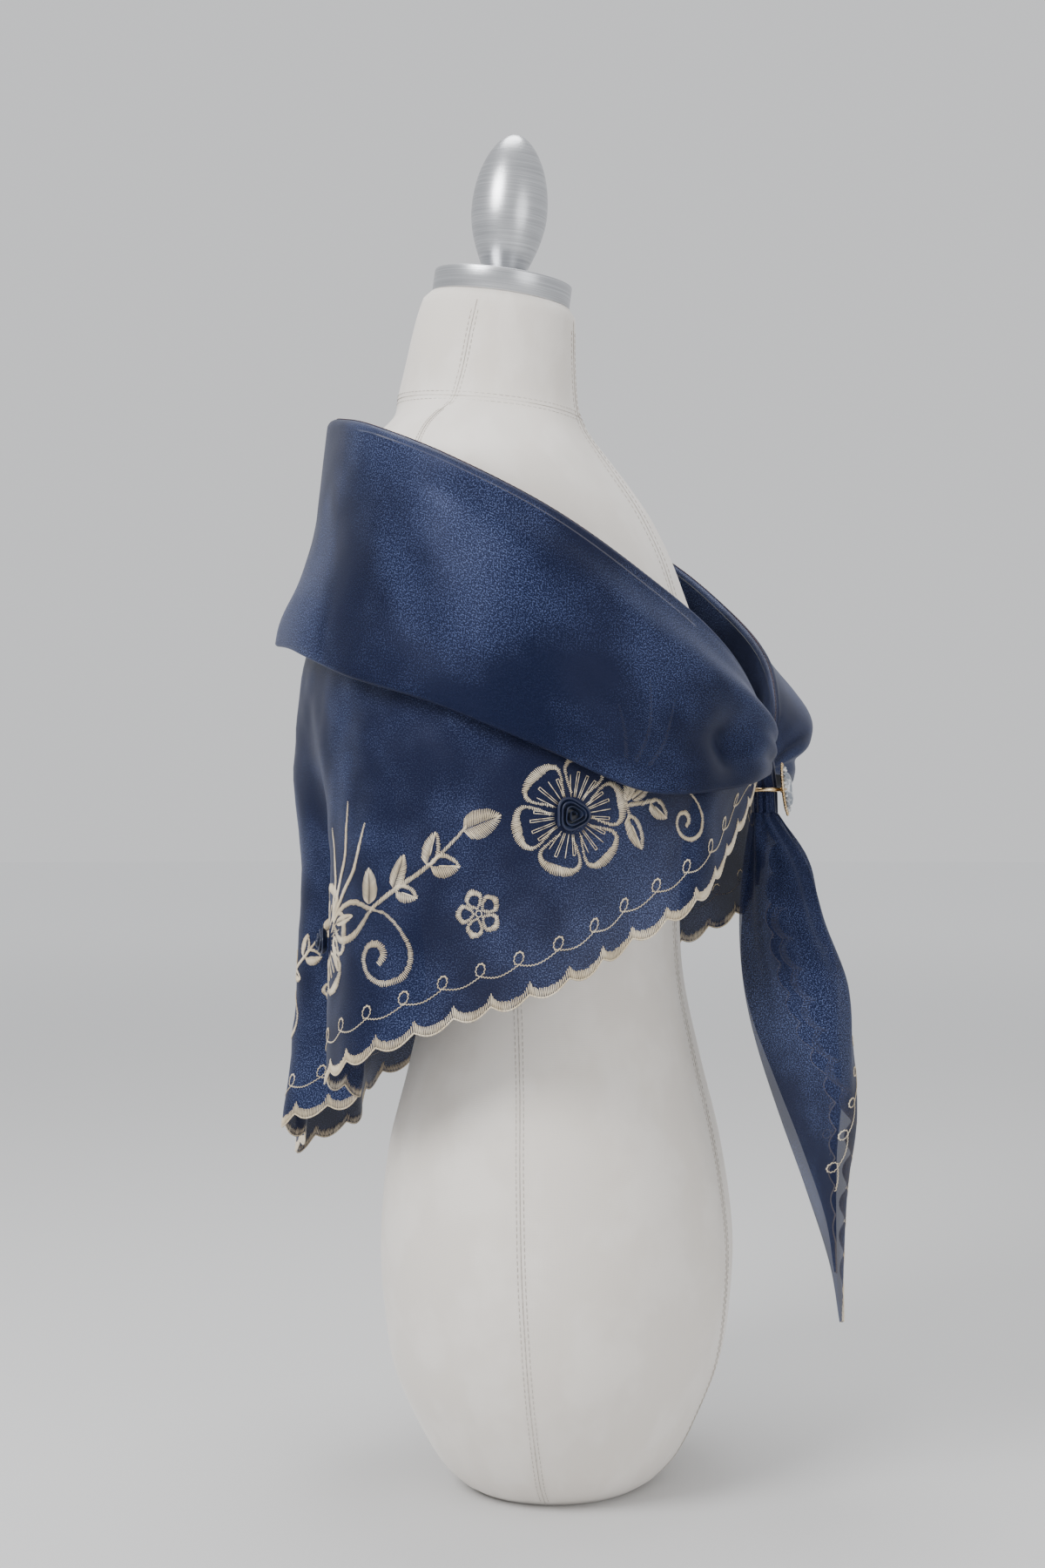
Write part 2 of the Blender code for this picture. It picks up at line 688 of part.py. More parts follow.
def build_clip(gold, crystal):
    bpy.ops.mesh.primitive_torus_add(
        major_segments=24, minor_segments=6,
        major_radius=RING_HALF_WIDTH, minor_radius=RING_WIRE,
        location=(0.0, CLIP_Y, RING_Z),
    )
    ring = bpy.context.object
    ring.name = "clip_ring"
    ring.data.transform(Matrix.Diagonal((1.0, RING_HALF_DEPTH / RING_HALF_WIDTH, 1.0, 1.0)))
    ring.data.shade_smooth()
    ring.data.materials.append(gold)

    # The tilted plate starts just clear of the ring that it hooks round.
    place = clip_place() @ Matrix.Translation((0.0, 0.0, -PLATE_SETBACK))
    plate = [
        (PLATE_HEIGHT * 0.86, PLATE_WIDTH * 0.74, 0.0),
        (PLATE_HEIGHT, PLATE_WIDTH, PLATE_THICK * 0.55),
        (PLATE_HEIGHT * 0.97, PLATE_WIDTH * 0.94, PLATE_THICK),
    ]
    marquise_solid("clip_plate", plate, 44, 0.045, gold, place)
    stone_place = place @ Matrix.Translation((0.0, 0.0, PLATE_THICK + SEAM_GAP))
    stone = [
        (PLATE_HEIGHT * 0.80, PLATE_WIDTH * 0.74, 0.0),
        (PLATE_HEIGHT * 0.78, PLATE_WIDTH * 0.70, STONE_DEPTH * 0.35),
        (PLATE_HEIGHT * 0.50, PLATE_WIDTH * 0.38, STONE_DEPTH),
    ]
    marquise_solid("clip_stone", stone, 16, 0.0, crystal, stone_place).data.shade_flat()


# Ribbon roses
def surface_tree(sheet):
    """The finished surface of a sheet, walls and all, to seat things on."""
    shaped = bpy.context.evaluated_depsgraph_get()
    return BVHTree.FromObject(sheet, shaped)


def seated(tree, spot, normal):
    """The point straight below spot on the outer face of the cloth."""
    reach = 0.010
    hit = tree.ray_cast(spot + normal * reach, -normal, 2.5 * reach)[0]
    return spot if hit is None else hit


def rose_on(name, tree, spot, normal, upward, ribbon):
    """A low rosette of wound ribbon, its outer turns flaring off the cloth."""
    side = upward.cross(normal).normalized()
    up = normal.cross(side)
    sides = 12
    profile = [
        (ROSE_FOOT, 0.0),
        (ROSE_RADIUS, 0.0026),
        (ROSE_RADIUS * 0.94, 0.0048),
        (ROSE_RADIUS * 0.70, 0.0050),
        (ROSE_RADIUS * 0.55, ROSE_HEIGHT),
        (ROSE_RADIUS * 0.30, ROSE_HEIGHT * 0.85),
        (ROSE_RADIUS * 0.12, ROSE_HEIGHT * 0.62),
    ]
    middle = seated(tree, spot, normal)
    points, faces = [middle + normal * ROSE_GAP], []
    for level, (radius, rise) in enumerate(profile):
        for step in range(sides):
            turn = 2 * math.pi * step / sides
            petal = 1 + 0.09 * math.cos(3 * turn + 0.9 * level) * min(level, 1)
            flat = (side * math.cos(turn) + up * math.sin(turn)) * radius * petal
            foot = seated(tree, middle + flat, normal)
            points.append(foot + normal * (rise + ROSE_GAP))
    points.append(middle + normal * (profile[-1][1] + ROSE_GAP))
    last = 1 + (len(profile) - 1) * sides
    for step in range(sides):
        after = (step + 1) % sides
        faces.append((0, 1 + after, 1 + step))
        faces.append((len(points) - 1, last + step, last + after))
        for level in range(len(profile) - 1):
            low, high = 1 + level * sides, 1 + (level + 1) * sides
            faces.append((low + step, low + after, high + after, high + step))
    new_object(name, points, faces, ribbon)


def surface_frame(surface, a, b, outward_hint):
    """Point, outward normal and up direction of a surface at (a, b)."""
    step = 0.004
    spot = surface(a, b)
    along = surface(a + step, b) - surface(a - step, b)
    down = surface(a, b + step) - surface(a, b - step)
    normal = along.cross(down).normalized()
    if normal.dot(outward_hint) < 0:
        normal = -normal
    return spot, normal, -down.normalized()


def build_roses(ribbon, panel, places, hem_length):
    tree = surface_tree(panel)
    for rose in ROSES:
        share = 0.5 + rose.along / hem_length
        place = places[round(share * (len(places) - 1))]
        spot = guide(place)
        drop = (panel_point(spot, 1.0) - panel_point(spot, 0.0)).length
        frame = surface_frame(
            lambda a, b: panel_point(guide(a), b), place, 1 - rose.above_hem / drop, spot.out
        )
        rose_on(rose.name, tree, *frame, ribbon)


def main():
    for old in list(bpy.data.objects):
        bpy.data.objects.remove(old, do_unlink=True)
    cover = material("form_cover", (0.80, 0.77, 0.73), 0.85, sheen=0.2)
    metal = material("brushed_metal", (0.62, 0.63, 0.65), 0.35, metallic=1.0)
    cloth = material("organza", (0.018, 0.034, 0.105), 0.45, sheen=0.6)
    ribbon = material("satin_ribbon", (0.010, 0.018, 0.060), 0.35, sheen=0.3)
    gold = material("clip_gold", (0.80, 0.62, 0.36), 0.25, metallic=1.0)
    crystal = material("crystal", (0.90, 0.93, 0.96), 0.05)

    build_form(cover, metal)
    steps = 2 * HEM_SCALLOPS * STEPS_PER_SCALLOP
    places, hem_length = hem_places(steps)
    panel = build_panel(cloth, places)
    build_collar(cloth)
    build_tail("shawl_tail_right", -1, cloth)
    build_tail("shawl_tail_left", 1, cloth)
    build_gather(cloth)
    build_clip(gold, crystal)
    build_roses(ribbon, panel, places, hem_length)


main()
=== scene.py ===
# %% [markdown]
# # An embroidered shawl on a dress form
#
# A triangle of dark blue organza is folded over along its long side and worn
# round the shoulders of a limbless dress form. Its sharp corners meet in front
# in a jewelled clip and hang as two tails. This lesson dresses the packed
# CAD model: each cell makes one piece, or one finish, and prints what it made.
# Lengths are metres, +Z is up, the wearer's front faces -Y.

# %% Load the frame
import math
import random
from collections import namedtuple

import bmesh
import bpy
import numpy as np
from mathutils import Matrix, Vector, noise


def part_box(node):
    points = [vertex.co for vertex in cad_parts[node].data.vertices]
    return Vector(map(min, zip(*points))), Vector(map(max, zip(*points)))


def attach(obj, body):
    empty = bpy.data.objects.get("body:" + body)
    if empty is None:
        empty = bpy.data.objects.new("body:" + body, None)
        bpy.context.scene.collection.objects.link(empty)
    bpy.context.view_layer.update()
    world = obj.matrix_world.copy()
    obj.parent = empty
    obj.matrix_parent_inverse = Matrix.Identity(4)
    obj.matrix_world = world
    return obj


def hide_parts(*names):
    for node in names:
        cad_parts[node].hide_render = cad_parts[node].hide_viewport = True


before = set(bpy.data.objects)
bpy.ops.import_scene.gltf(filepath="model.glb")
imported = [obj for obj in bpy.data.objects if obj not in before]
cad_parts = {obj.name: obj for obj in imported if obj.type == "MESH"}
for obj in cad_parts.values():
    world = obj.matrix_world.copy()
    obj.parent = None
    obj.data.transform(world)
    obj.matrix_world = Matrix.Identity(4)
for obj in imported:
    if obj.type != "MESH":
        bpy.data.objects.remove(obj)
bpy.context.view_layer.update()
UP = Vector((0.0, 0.0, 1.0))

# %% [markdown]
# The camera stands where the photographer stood: level, a little below the
# middle of the form, and turned to see the wearer's right side with the front
# at the right of the picture. A long lens keeps the form's sides parallel.

# %% Camera
camera_lens = bpy.data.cameras.new("camera")
camera_lens.sensor_fit = "VERTICAL"
camera_lens.sensor_height = 36.0
camera_lens.lens = 55.56
camera_lens.clip_start = 0.05
camera = bpy.data.objects.new("camera", camera_lens)
camera.location = (-1.6976, -0.4259, 0.498)
camera.rotation_euler = (math.radians(90), 0.0, math.radians(-75))
bpy.context.scene.collection.objects.link(camera)
bpy.context.scene.camera = camera
print("camera", tuple(camera.location))

# %% [markdown]
# Every finish is a small network of shader nodes. Short helpers keep those
# networks readable: one adds a node with its values, one starts a material
# whose Principled shader takes the plain numbers directly, and one makes the
# usual finish, whose colour, roughness and relief follow marks on its surface.

# %% Helpers for shader nodes
def add_node(tree, kind, inputs=None, **settings):
    """A node with its settings, and values or other nodes' sockets on its inputs."""
    made = tree.nodes.new(kind)
    for name, value in settings.items():
        setattr(made, name, value)
    for name, value in (inputs or {}).items():
        if isinstance(value, bpy.types.NodeSocket):
            tree.links.new(value, made.inputs[name])
        else:
            made.inputs[name].default_value = value
    return made


def colour_steps(tree, factor, stops, smooth=True):
    """A colour ramp from (position, colour) stops."""
    ramp = add_node(tree, "ShaderNodeValToRGB", {"Fac": factor})
    ramp.color_ramp.interpolation = "EASE" if smooth else "LINEAR"
    while len(ramp.color_ramp.elements) < len(stops):
        ramp.color_ramp.elements.new(0.5)
    for element, (position, colour) in zip(ramp.color_ramp.elements, stops):
        element.position = position
        element.color = (*colour, 1.0)
    return ramp.outputs["Color"]


def grey_steps(tree, factor, low, high):
    """A mask that is 0 below low and 1 above high, or the other way where low is larger."""
    return add_node(
        tree, "ShaderNodeMapRange", {"Value": factor, "From Min": low, "From Max": high},
        interpolation_type="SMOOTHSTEP",
    ).outputs["Result"]


def new_material(name, **plain):
    """A material and its Principled shader, with plain values on its sockets."""
    made = bpy.data.materials.new(name)
    made.use_nodes = True
    shader = made.node_tree.nodes["Principled BSDF"]
    for socket, value in plain.items():
        shader.inputs[socket.replace("_", " ")].default_value = value
    return made, made.node_tree, shader


def new_group(name, inputs, outputs):
    """A shader node group with named sockets, and its input and output nodes."""
    kinds = {"value": "NodeSocketFloat", "vector": "NodeSocketVector", "colour": "NodeSocketColor"}
    group = bpy.data.node_groups.new(name, "ShaderNodeTree")
    for socket, kind, start in inputs:
        made = group.interface.new_socket(socket, in_out="INPUT", socket_type=kinds[kind])
        if start is not None:
            made.default_value = start
    for socket, kind in outputs:
        group.interface.new_socket(socket, in_out="OUTPUT", socket_type=kinds[kind])
    return group, group.nodes.new("NodeGroupInput"), group.nodes.new("NodeGroupOutput")


def use_group(tree, group, inputs):
    """The outputs of a shared group that is placed in a finish."""
    return add_node(tree, "ShaderNodeGroup", inputs, node_tree=group).outputs


def relief(tree, shader, height, strength, depth):
    """Small bumps that follow a height."""
    bump = add_node(
        tree, "ShaderNodeBump", {"Height": height, "Strength": strength, "Distance": depth}
    )
    tree.links.new(bump.outputs["Normal"], shader.inputs["Normal"])


Finish = namedtuple("Finish", "material tree shader spot marks")


def marked_finish(name, group, sizes, stops, rough=None, bump=None, space="Object", **plain):
    """A finish whose colour steps follow the first mark of a shared group.

    rough is a range of roughness, and bump a strength and a depth; both
    follow the group's last mark. The rest are plain values of the shader.
    """
    made, tree, shader = new_material(name, **plain)
    spot = add_node(tree, "ShaderNodeTexCoord").outputs[space]
    marks = use_group(tree, group, {"Place": spot, **sizes})
    tree.links.new(colour_steps(tree, marks[0], stops), shader.inputs["Base Color"])
    if rough:
        least, most = rough
        ranged = add_node(
            tree, "ShaderNodeMapRange", {"Value": marks[-1], "To Min": least, "To Max": most}
        )
        tree.links.new(ranged.outputs["Result"], shader.inputs["Roughness"])
    if bump:
        relief(tree, shader, marks[-1], *bump)
    return Finish(made, tree, shader, spot, marks)

# %% [markdown]
# Cloth, thread and metal all carry small marks that lie over the plain colour.
# Three shared groups make them: an over-and-under weave, a soft mottle of two
# sizes, and fine lines along one direction for brushed metal and for the fibres
# of a thread. On most finishes the mottle is uneven tone from handling. On the
# organza it places painted sheen and painted glint, and on the crystal painted
# reflections.

# %% Shared effects
weave_group, g_in, g_out = new_group(
    "weave",
    [("Place", "vector", None), ("Threads", "value", 800.0)],
    [("Height", "value")],
)
warp = add_node(
    weave_group, "ShaderNodeTexWave",
    {"Vector": g_in.outputs["Place"], "Scale": g_in.outputs["Threads"]}, bands_direction="X",
)
weft = add_node(
    weave_group, "ShaderNodeTexWave",
    {"Vector": g_in.outputs["Place"], "Scale": g_in.outputs["Threads"]}, bands_direction="Y",
)
crossing = add_node(
    weave_group, "ShaderNodeMath",
    {0: warp.outputs["Fac"], 1: weft.outputs["Fac"]}, operation="MULTIPLY",
)
weave_group.links.new(crossing.outputs[0], g_out.inputs["Height"])

mottle_group, g_in, g_out = new_group(
    "mottle",
    [("Place", "vector", None), ("Broad", "value", 9.0), ("Fine", "value", 900.0)],
    [("Patches", "value"), ("Speckle", "value")],
)
Mottle = namedtuple("Mottle", "scale detail roughness low high mark")
for kind in (
    Mottle("Broad", 3.0, 0.55, 0.38, 0.66, "Patches"),
    Mottle("Fine", 1.0, 0.60, 0.48, 0.68, "Speckle"),
):
    clouds = add_node(mottle_group, "ShaderNodeTexNoise", {
        "Vector": g_in.outputs["Place"], "Scale": g_in.outputs[kind.scale],
        "Detail": kind.detail, "Roughness": kind.roughness,
    })
    mask = grey_steps(mottle_group, clouds.outputs["Fac"], kind.low, kind.high)
    mottle_group.links.new(mask, g_out.inputs[kind.mark])

lines_group, g_in, g_out = new_group(
    "fine lines",
    [("Place", "vector", None), ("Along", "vector", (1.0, 1.0, 60.0)), ("Fine", "value", 60.0)],
    [("Lines", "value")],
)
drawn_out = add_node(
    lines_group, "ShaderNodeVectorMath",
    {0: g_in.outputs["Place"], 1: g_in.outputs["Along"]}, operation="MULTIPLY",
)
streaks = add_node(lines_group, "ShaderNodeTexNoise", {
    "Vector": drawn_out.outputs[0], "Scale": g_in.outputs["Fine"],
    "Detail": 4.0, "Roughness": 0.6,
})
lines_group.links.new(streaks.outputs["Fac"], g_out.inputs["Lines"])
print("shader groups", [g.name for g in bpy.data.node_groups])

# %% [markdown]
# The floor is a pale disc, wide enough that its edge is lost in an even pale
# surround. Its colour is painted paler outward until it matches that surround:
# painted light, since the lamps light the far floor less. Three large soft
# lights stand round the form: a key from the upper left of the picture, a
# weaker one from the right, and one above that rims the shoulders and the fold
# of the shawl.

# %% Floor and studio light
floor_finish, tree, shader = new_material("floor", Roughness=0.9)
spot = add_node(tree, "ShaderNodeTexCoord").outputs["Object"]
away = add_node(tree, "ShaderNodeVectorMath", {0: spot}, operation="LENGTH")
# The floor is painted paler with distance from the form: painted light.
painted_light_share = grey_steps(tree, away.outputs["Value"], 0.8, 7.0)
painted_light_floor_greys = [(0.0, (0.66, 0.66, 0.66)), (1.0, (0.95, 0.955, 0.96))]
pale = colour_steps(tree, painted_light_share, painted_light_floor_greys, smooth=False)
tree.links.new(pale, shader.inputs["Base Color"])

disc = bmesh.new()
bmesh.ops.create_circle(disc, cap_ends=True, segments=96, radius=14.0)
floor_mesh = bpy.data.meshes.new("floor")
disc.to_mesh(floor_mesh)
disc.free()
floor_mesh.materials.append(floor_finish)
floor = bpy.data.objects.new("floor", floor_mesh)
bpy.context.scene.collection.objects.link(floor)

surround = bpy.data.worlds.new("surround")
surround.use_nodes = True
surround.node_tree.nodes["Background"].inputs["Color"].default_value = (0.95, 0.96, 0.98, 1.0)
surround.node_tree.nodes["Background"].inputs["Strength"].default_value = 0.85
bpy.context.scene.world = surround

SoftLight = namedtuple("SoftLight", "name place size power")
for light in (
    SoftLight("key", (-1.9, 0.9, 1.9), 1.1, 56.0),
    SoftLight("fill", (-1.5, -2.0, 0.9), 1.5, 13.0),
    SoftLight("top", (0.4, 0.2, 2.4), 1.2, 24.0),
):
    lamp = bpy.data.lights.new(light.name, "AREA")
    lamp.shape, lamp.size, lamp.energy = "DISK", light.size, light.power
    held = bpy.data.objects.new(light.name, lamp)
    held.location = light.place
    aim = Vector((0.0, 0.0, 0.5)) - Vector(light.place)
    held.rotation_euler = aim.to_track_quat("-Z", "Y").to_euler()
    bpy.context.scene.collection.objects.link(held)
    print("light", light.name, light.power, "W")

# %% [markdown]
# The garment's shape is set down in short tables with named columns, read as
# smooth curves. They hold the same numbers as the CAD model, because the cloth
# here has to lie where its solids lie; only the steps between are finer.

# %% Tables and soft steps
class Table:
    """Rows with named columns, read as a smooth curve along the first column."""

    def __init__(self, columns, rows):
        self.row = namedtuple("row", columns)
        self.rows = [self.row(*row) for row in rows]

    def slope(self, index, column):
        before = self.rows[max(index - 1, 0)]
        after = self.rows[min(index + 1, len(self.rows) - 1)]
        return (after[column] - before[column]) / (after[0] - before[0])

    def at(self, place):
        first, last = self.rows[0][0], self.rows[-1][0]
        place = min(max(place, first), last)
        index = 0
        while index < len(self.rows) - 2 and self.rows[index + 1][0] < place:
            index += 1
        low, high = self.rows[index], self.rows[index + 1]
        span = high[0] - low[0]
        t = (place - low[0]) / span
        values = [place]
        for column in range(1, len(low)):
            start = self.slope(index, column) * span
            end = self.slope(index + 1, column) * span
            values.append(
                low[column] * (1 + 2 * t) * (1 - t) ** 2
                + start * t * (1 - t) ** 2
                + high[column] * t * t * (3 - 2 * t)
                - end * t * t * (1 - t)
            )
        return self.row(*values)


def smooth_step(low, high, value):
    t = min(max((value - low) / (high - low), 0.0), 1.0)
    return t * t * (3 - 2 * t)


def bell(value):
    return math.exp(-value * value)


def lengths_along(line):
    """The length of a line from its start up to each of its points."""
    return np.concatenate([[0.0], np.cumsum(np.linalg.norm(np.diff(line, axis=0), axis=1))])


def add_piece(shape, name, finish, replaced=(), smooth=True):
    """Turns a bmesh into a finished piece that rides on the object's one body."""
    mesh = bpy.data.meshes.new(name)
    shape.to_mesh(mesh)
    shape.free()
    if smooth:
        mesh.shade_smooth()
    mesh.materials.append(finish)
    made = bpy.data.objects.new(name, mesh)
    bpy.context.scene.collection.objects.link(made)
    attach(made, "root")
    if replaced:
        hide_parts(*replaced)
    print(name, len(mesh.polygons), "faces")
    return made


def shaped_grid(columns, rows, point_at, cut_at=None):
    """A flat grid whose corners (0, 0) to (1, 1) are moved onto a surface.

    cut_at gives each corner's place on the flat cloth, in metres, which is
    kept as the UV map "cut" so that the weave follows the cloth.
    """
    grid = bmesh.new()
    bmesh.ops.create_grid(grid, x_segments=columns, y_segments=rows, size=0.5)
    cut = grid.loops.layers.uv.new("cut")
    spots = {v: (v.co.x + 0.5, v.co.y + 0.5) for v in grid.verts}
    if cut_at:
        flat = {v: cut_at(*spots[v]) for v in grid.verts}
        for face in grid.faces:
            for loop in face.loops:
                loop[cut].uv = flat[loop.vert]
    for vert, (a, b) in spots.items():
        vert.co = point_at(a, b)
    return grid


def facing(shape, away):
    """Turns an open sheet's faces so that they look along away, on the whole."""
    shape.normal_update()
    if sum(face.normal.dot(away(face.calc_center_median())) for face in shape.faces) < 0:
        bmesh.ops.reverse_faces(shape, faces=shape.faces)


def close_up(shape, within=1e-6):
    """Welds the edges that meet, fills what stays open and turns the faces outward."""
    bmesh.ops.remove_doubles(shape, verts=shape.verts, dist=within)
    bmesh.ops.holes_fill(shape, edges=[e for e in shape.edges if e.is_boundary], sides=0)
    bmesh.ops.recalc_face_normals(shape, faces=shape.faces)

# %% [markdown]
# The dress form is a padded shell covered in cream jersey, sewn in panels. A
# grid wrapped round the table of cross-sections gives its long smooth curves,
# and its one open seam is then welded. The neck leans forward, so the top
# rings drop a little towards the front.

# %% Dress form
TORSO = Table(
    "height half_width front back centre_y squareness",
    [
        (0.000, 0.080, 0.063, 0.063, 0.000, 2.1),
        (0.005, 0.090, 0.071, 0.071, 0.000, 2.1),
        (0.021, 0.110, 0.085, 0.085, 0.000, 2.1),
        (0.051, 0.131, 0.100, 0.101, 0.000, 2.1),
        (0.085, 0.149, 0.113, 0.115, 0.000, 2.1),
        (0.122, 0.160, 0.119, 0.121, 0.000, 2.1),
        (0.174, 0.166, 0.121, 0.124, 0.000, 2.1),
        (0.240, 0.158, 0.112, 0.119, 0.000, 2.1),
        (0.300, 0.138, 0.100, 0.103, 0.002, 2.1),
        (0.360, 0.122, 0.092, 0.088, 0.006, 2.1),
        (0.420, 0.127, 0.095, 0.089, 0.012, 2.1),
        (0.480, 0.136, 0.103, 0.095, 0.018, 2.2),
        (0.540, 0.146, 0.112, 0.102, 0.024, 2.2),
        (0.600, 0.156, 0.118, 0.108, 0.030, 2.3),
        (0.650, 0.168, 0.112, 0.110, 0.035, 2.4),
        (0.690, 0.177, 0.100, 0.104, 0.041, 2.4),
        (0.718, 0.173, 0.087, 0.090, 0.046, 2.3),
        (0.738, 0.146, 0.077, 0.078, 0.050, 2.2),
        (0.753, 0.112, 0.070, 0.069, 0.053, 2.1),
        (0.766, 0.078, 0.067, 0.066, 0.055, 2.0),
        (0.782, 0.065, 0.065, 0.065, 0.055, 2.0),
        (0.815, 0.060, 0.060, 0.060, 0.051, 2.0),
        (0.837, 0.0565, 0.0565, 0.0565, 0.0475, 2.0),
        (0.845, 0.0545, 0.0545, 0.0545, 0.0462, 2.0),
        (0.849, 0.0505, 0.0505, 0.0505, 0.0455, 2.0),
    ],
)
BUST_X, BUST_Z, BUST_DEPTH = 0.074, 0.548, 0.027
BUST_SPREAD_X, BUST_SPREAD_Z = 0.048, 0.058
NECK_TOP = Vector((0.0, 0.0455, 0.849))
NECK_LEAN = math.radians(8.0)
FORM_TOP, RIM_FOOT = 0.849, 0.837


def bust_swell(x, z):
    across = bell((abs(x) - BUST_X) / BUST_SPREAD_X)
    return BUST_DEPTH * across * bell((z - BUST_Z) / BUST_SPREAD_Z)


def form_point(turn, height):
    """turn 0 faces the front, a quarter turn the wearer's right."""
    section = TORSO.at(height)
    power = 2.0 / section.squareness
    ahead, aside = math.cos(turn), math.sin(turn)
    depth = section.front if ahead > 0 else section.back
    x = -section.half_width * math.copysign(abs(aside) ** power, aside)
    y = section.centre_y - depth * math.copysign(abs(ahead) ** power, ahead)
    if ahead > 0:
        y -= bust_swell(x, height) * smooth_step(0.0, 0.35, ahead)
    tipped = smooth_step(0.79, RIM_FOOT, height) * math.tan(NECK_LEAN)
    return Vector((x, y, height + tipped * (y - NECK_TOP.y)))


cream = marked_finish(
    "jersey", mottle_group, {"Broad": 14.0, "Fine": 420.0},
    [(0.0, (0.790, 0.735, 0.670)), (1.0, (0.850, 0.800, 0.740))], space="UV",
    Roughness=0.82, Sheen_Weight=0.35, Sheen_Roughness=0.5, Specular_IOR_Level=0.25,
)
jersey = cream.material
knit = use_group(cream.tree, weave_group, {"Place": cream.spot, "Threads": 330.0})
relief(cream.tree, cream.shader, knit["Height"], 0.18, 0.0004)

FORM_SIDES, FORM_LEVELS = 144, 150
FORM_GIRTH = 0.92
body = shaped_grid(
    FORM_SIDES, FORM_LEVELS,
    lambda a, b: form_point(2 * math.pi * a, FORM_TOP * b),
    lambda a, b: (FORM_GIRTH * a, FORM_TOP * b),
)
close_up(body, 1e-5)
form_cover = add_piece(body, "form_cover", jersey, ["form_torso"])

# %% [markdown]
# The neck cap and the finial are turned aluminium, brushed while they spin, so
# both start as half an outline spun round the neck's leaning axis. The cap has
# a small bevelled rim, the finial an egg's outline that is fullest just below
# its middle.

# %% Neck cap and finial
brushed = marked_finish(
    "brushed aluminium", lines_group, {"Along": (2.0, 900.0, 1.0), "Fine": 1.0},
    [(0.25, (0.44, 0.45, 0.47)), (0.75, (0.66, 0.67, 0.69))],
    rough=(0.24, 0.40), bump=(0.25, 0.0003), space="UV", Metallic=1.0,
).material

CAP_RADIUS, CAP_HEIGHT, CAP_BEVEL = 0.0503, 0.0165, 0.0012
FINIAL_HEIGHT, FINIAL_FOOT, FINIAL_RADIUS, FINIAL_WAIST = 0.104, 0.0138, 0.0277, 0.46
FINIAL_LEAN = math.radians(5.0)
CAP_LIFT = 0.0003
FINIAL_LIFT = CAP_HEIGHT + 0.0014


def turned_piece(outline, steps, lift, lean):
    """Spins an outline of (radius, height) points and stands it on the neck."""
    shape = bmesh.new()
    corners = [shape.verts.new((radius, 0.0, height)) for radius, height in outline]
    edges = [shape.edges.new(pair) for pair in zip(corners, corners[1:])]
    bmesh.ops.spin(
        shape, geom=corners + edges, cent=(0, 0, 0), axis=(0, 0, 1),
        angle=2 * math.pi, steps=steps, use_merge=True,
    )
    close_up(shape)
    cut = shape.loops.layers.uv.new("cut")
    for face in shape.faces:
        middle = math.atan2(face.calc_center_median().y, face.calc_center_median().x)
        for loop in face.loops:
            turn = math.atan2(loop.vert.co.y, loop.vert.co.x)
            turn += 2 * math.pi * round((middle - turn) / (2 * math.pi))
            radius = math.hypot(loop.vert.co.x, loop.vert.co.y)
            loop[cut].uv = (turn / (2 * math.pi), loop.vert.co.z + (CAP_RADIUS - radius) * 0.5)
    foot = NECK_TOP + Matrix.Rotation(NECK_LEAN, 3, "X") @ Vector((0.0, 0.0, lift))
    stand = Matrix.Translation(foot) @ Matrix.Rotation(lean, 4, "X")
    bmesh.ops.transform(shape, matrix=stand, verts=shape.verts)
    return shape


cap_outline = [(0.0, 0.0), (CAP_RADIUS - 0.0008, 0.0), (CAP_RADIUS, 0.0008)]
for step in range(7):
    turn = math.pi / 2 * step / 6
    cap_outline.append((
        CAP_RADIUS - CAP_BEVEL * (1 - math.cos(turn)),
        CAP_HEIGHT - CAP_BEVEL * (1 - math.sin(turn)),
    ))
cap_outline.append((0.0, CAP_HEIGHT))
add_piece(
    turned_piece(cap_outline, 96, CAP_LIFT, NECK_LEAN),
    "neck_cap", brushed, ["form_neck_cap"],
)

FINIAL_STEPS = 40
finial_outline = [(0.0, 0.0)]
for step in range(FINIAL_STEPS + 1):
    rise = step / FINIAL_STEPS
    if rise < FINIAL_WAIST:
        swell = math.sin(math.pi / 2 * rise / FINIAL_WAIST)
        radius = FINIAL_FOOT + (FINIAL_RADIUS - FINIAL_FOOT) * swell
    else:
        over = (rise - FINIAL_WAIST) / (1 - FINIAL_WAIST)
        radius = FINIAL_RADIUS * max(1 - over * over, 0.0) ** 0.58
    finial_outline.append((radius, FINIAL_HEIGHT * rise))
add_piece(
    turned_piece(finial_outline, 72, FINIAL_LIFT, FINIAL_LEAN),
    "finial", brushed, ["form_finial"],
)

# %% [markdown]
# The shawl is followed round the shoulders by a single number, its place: -1
# at the clip on the wearer's right, 0 at the centre back, 1 at the clip on the
# left. For each place the table gives the crest of the fold, the lower edge of
# the turned-down collar and the hem.

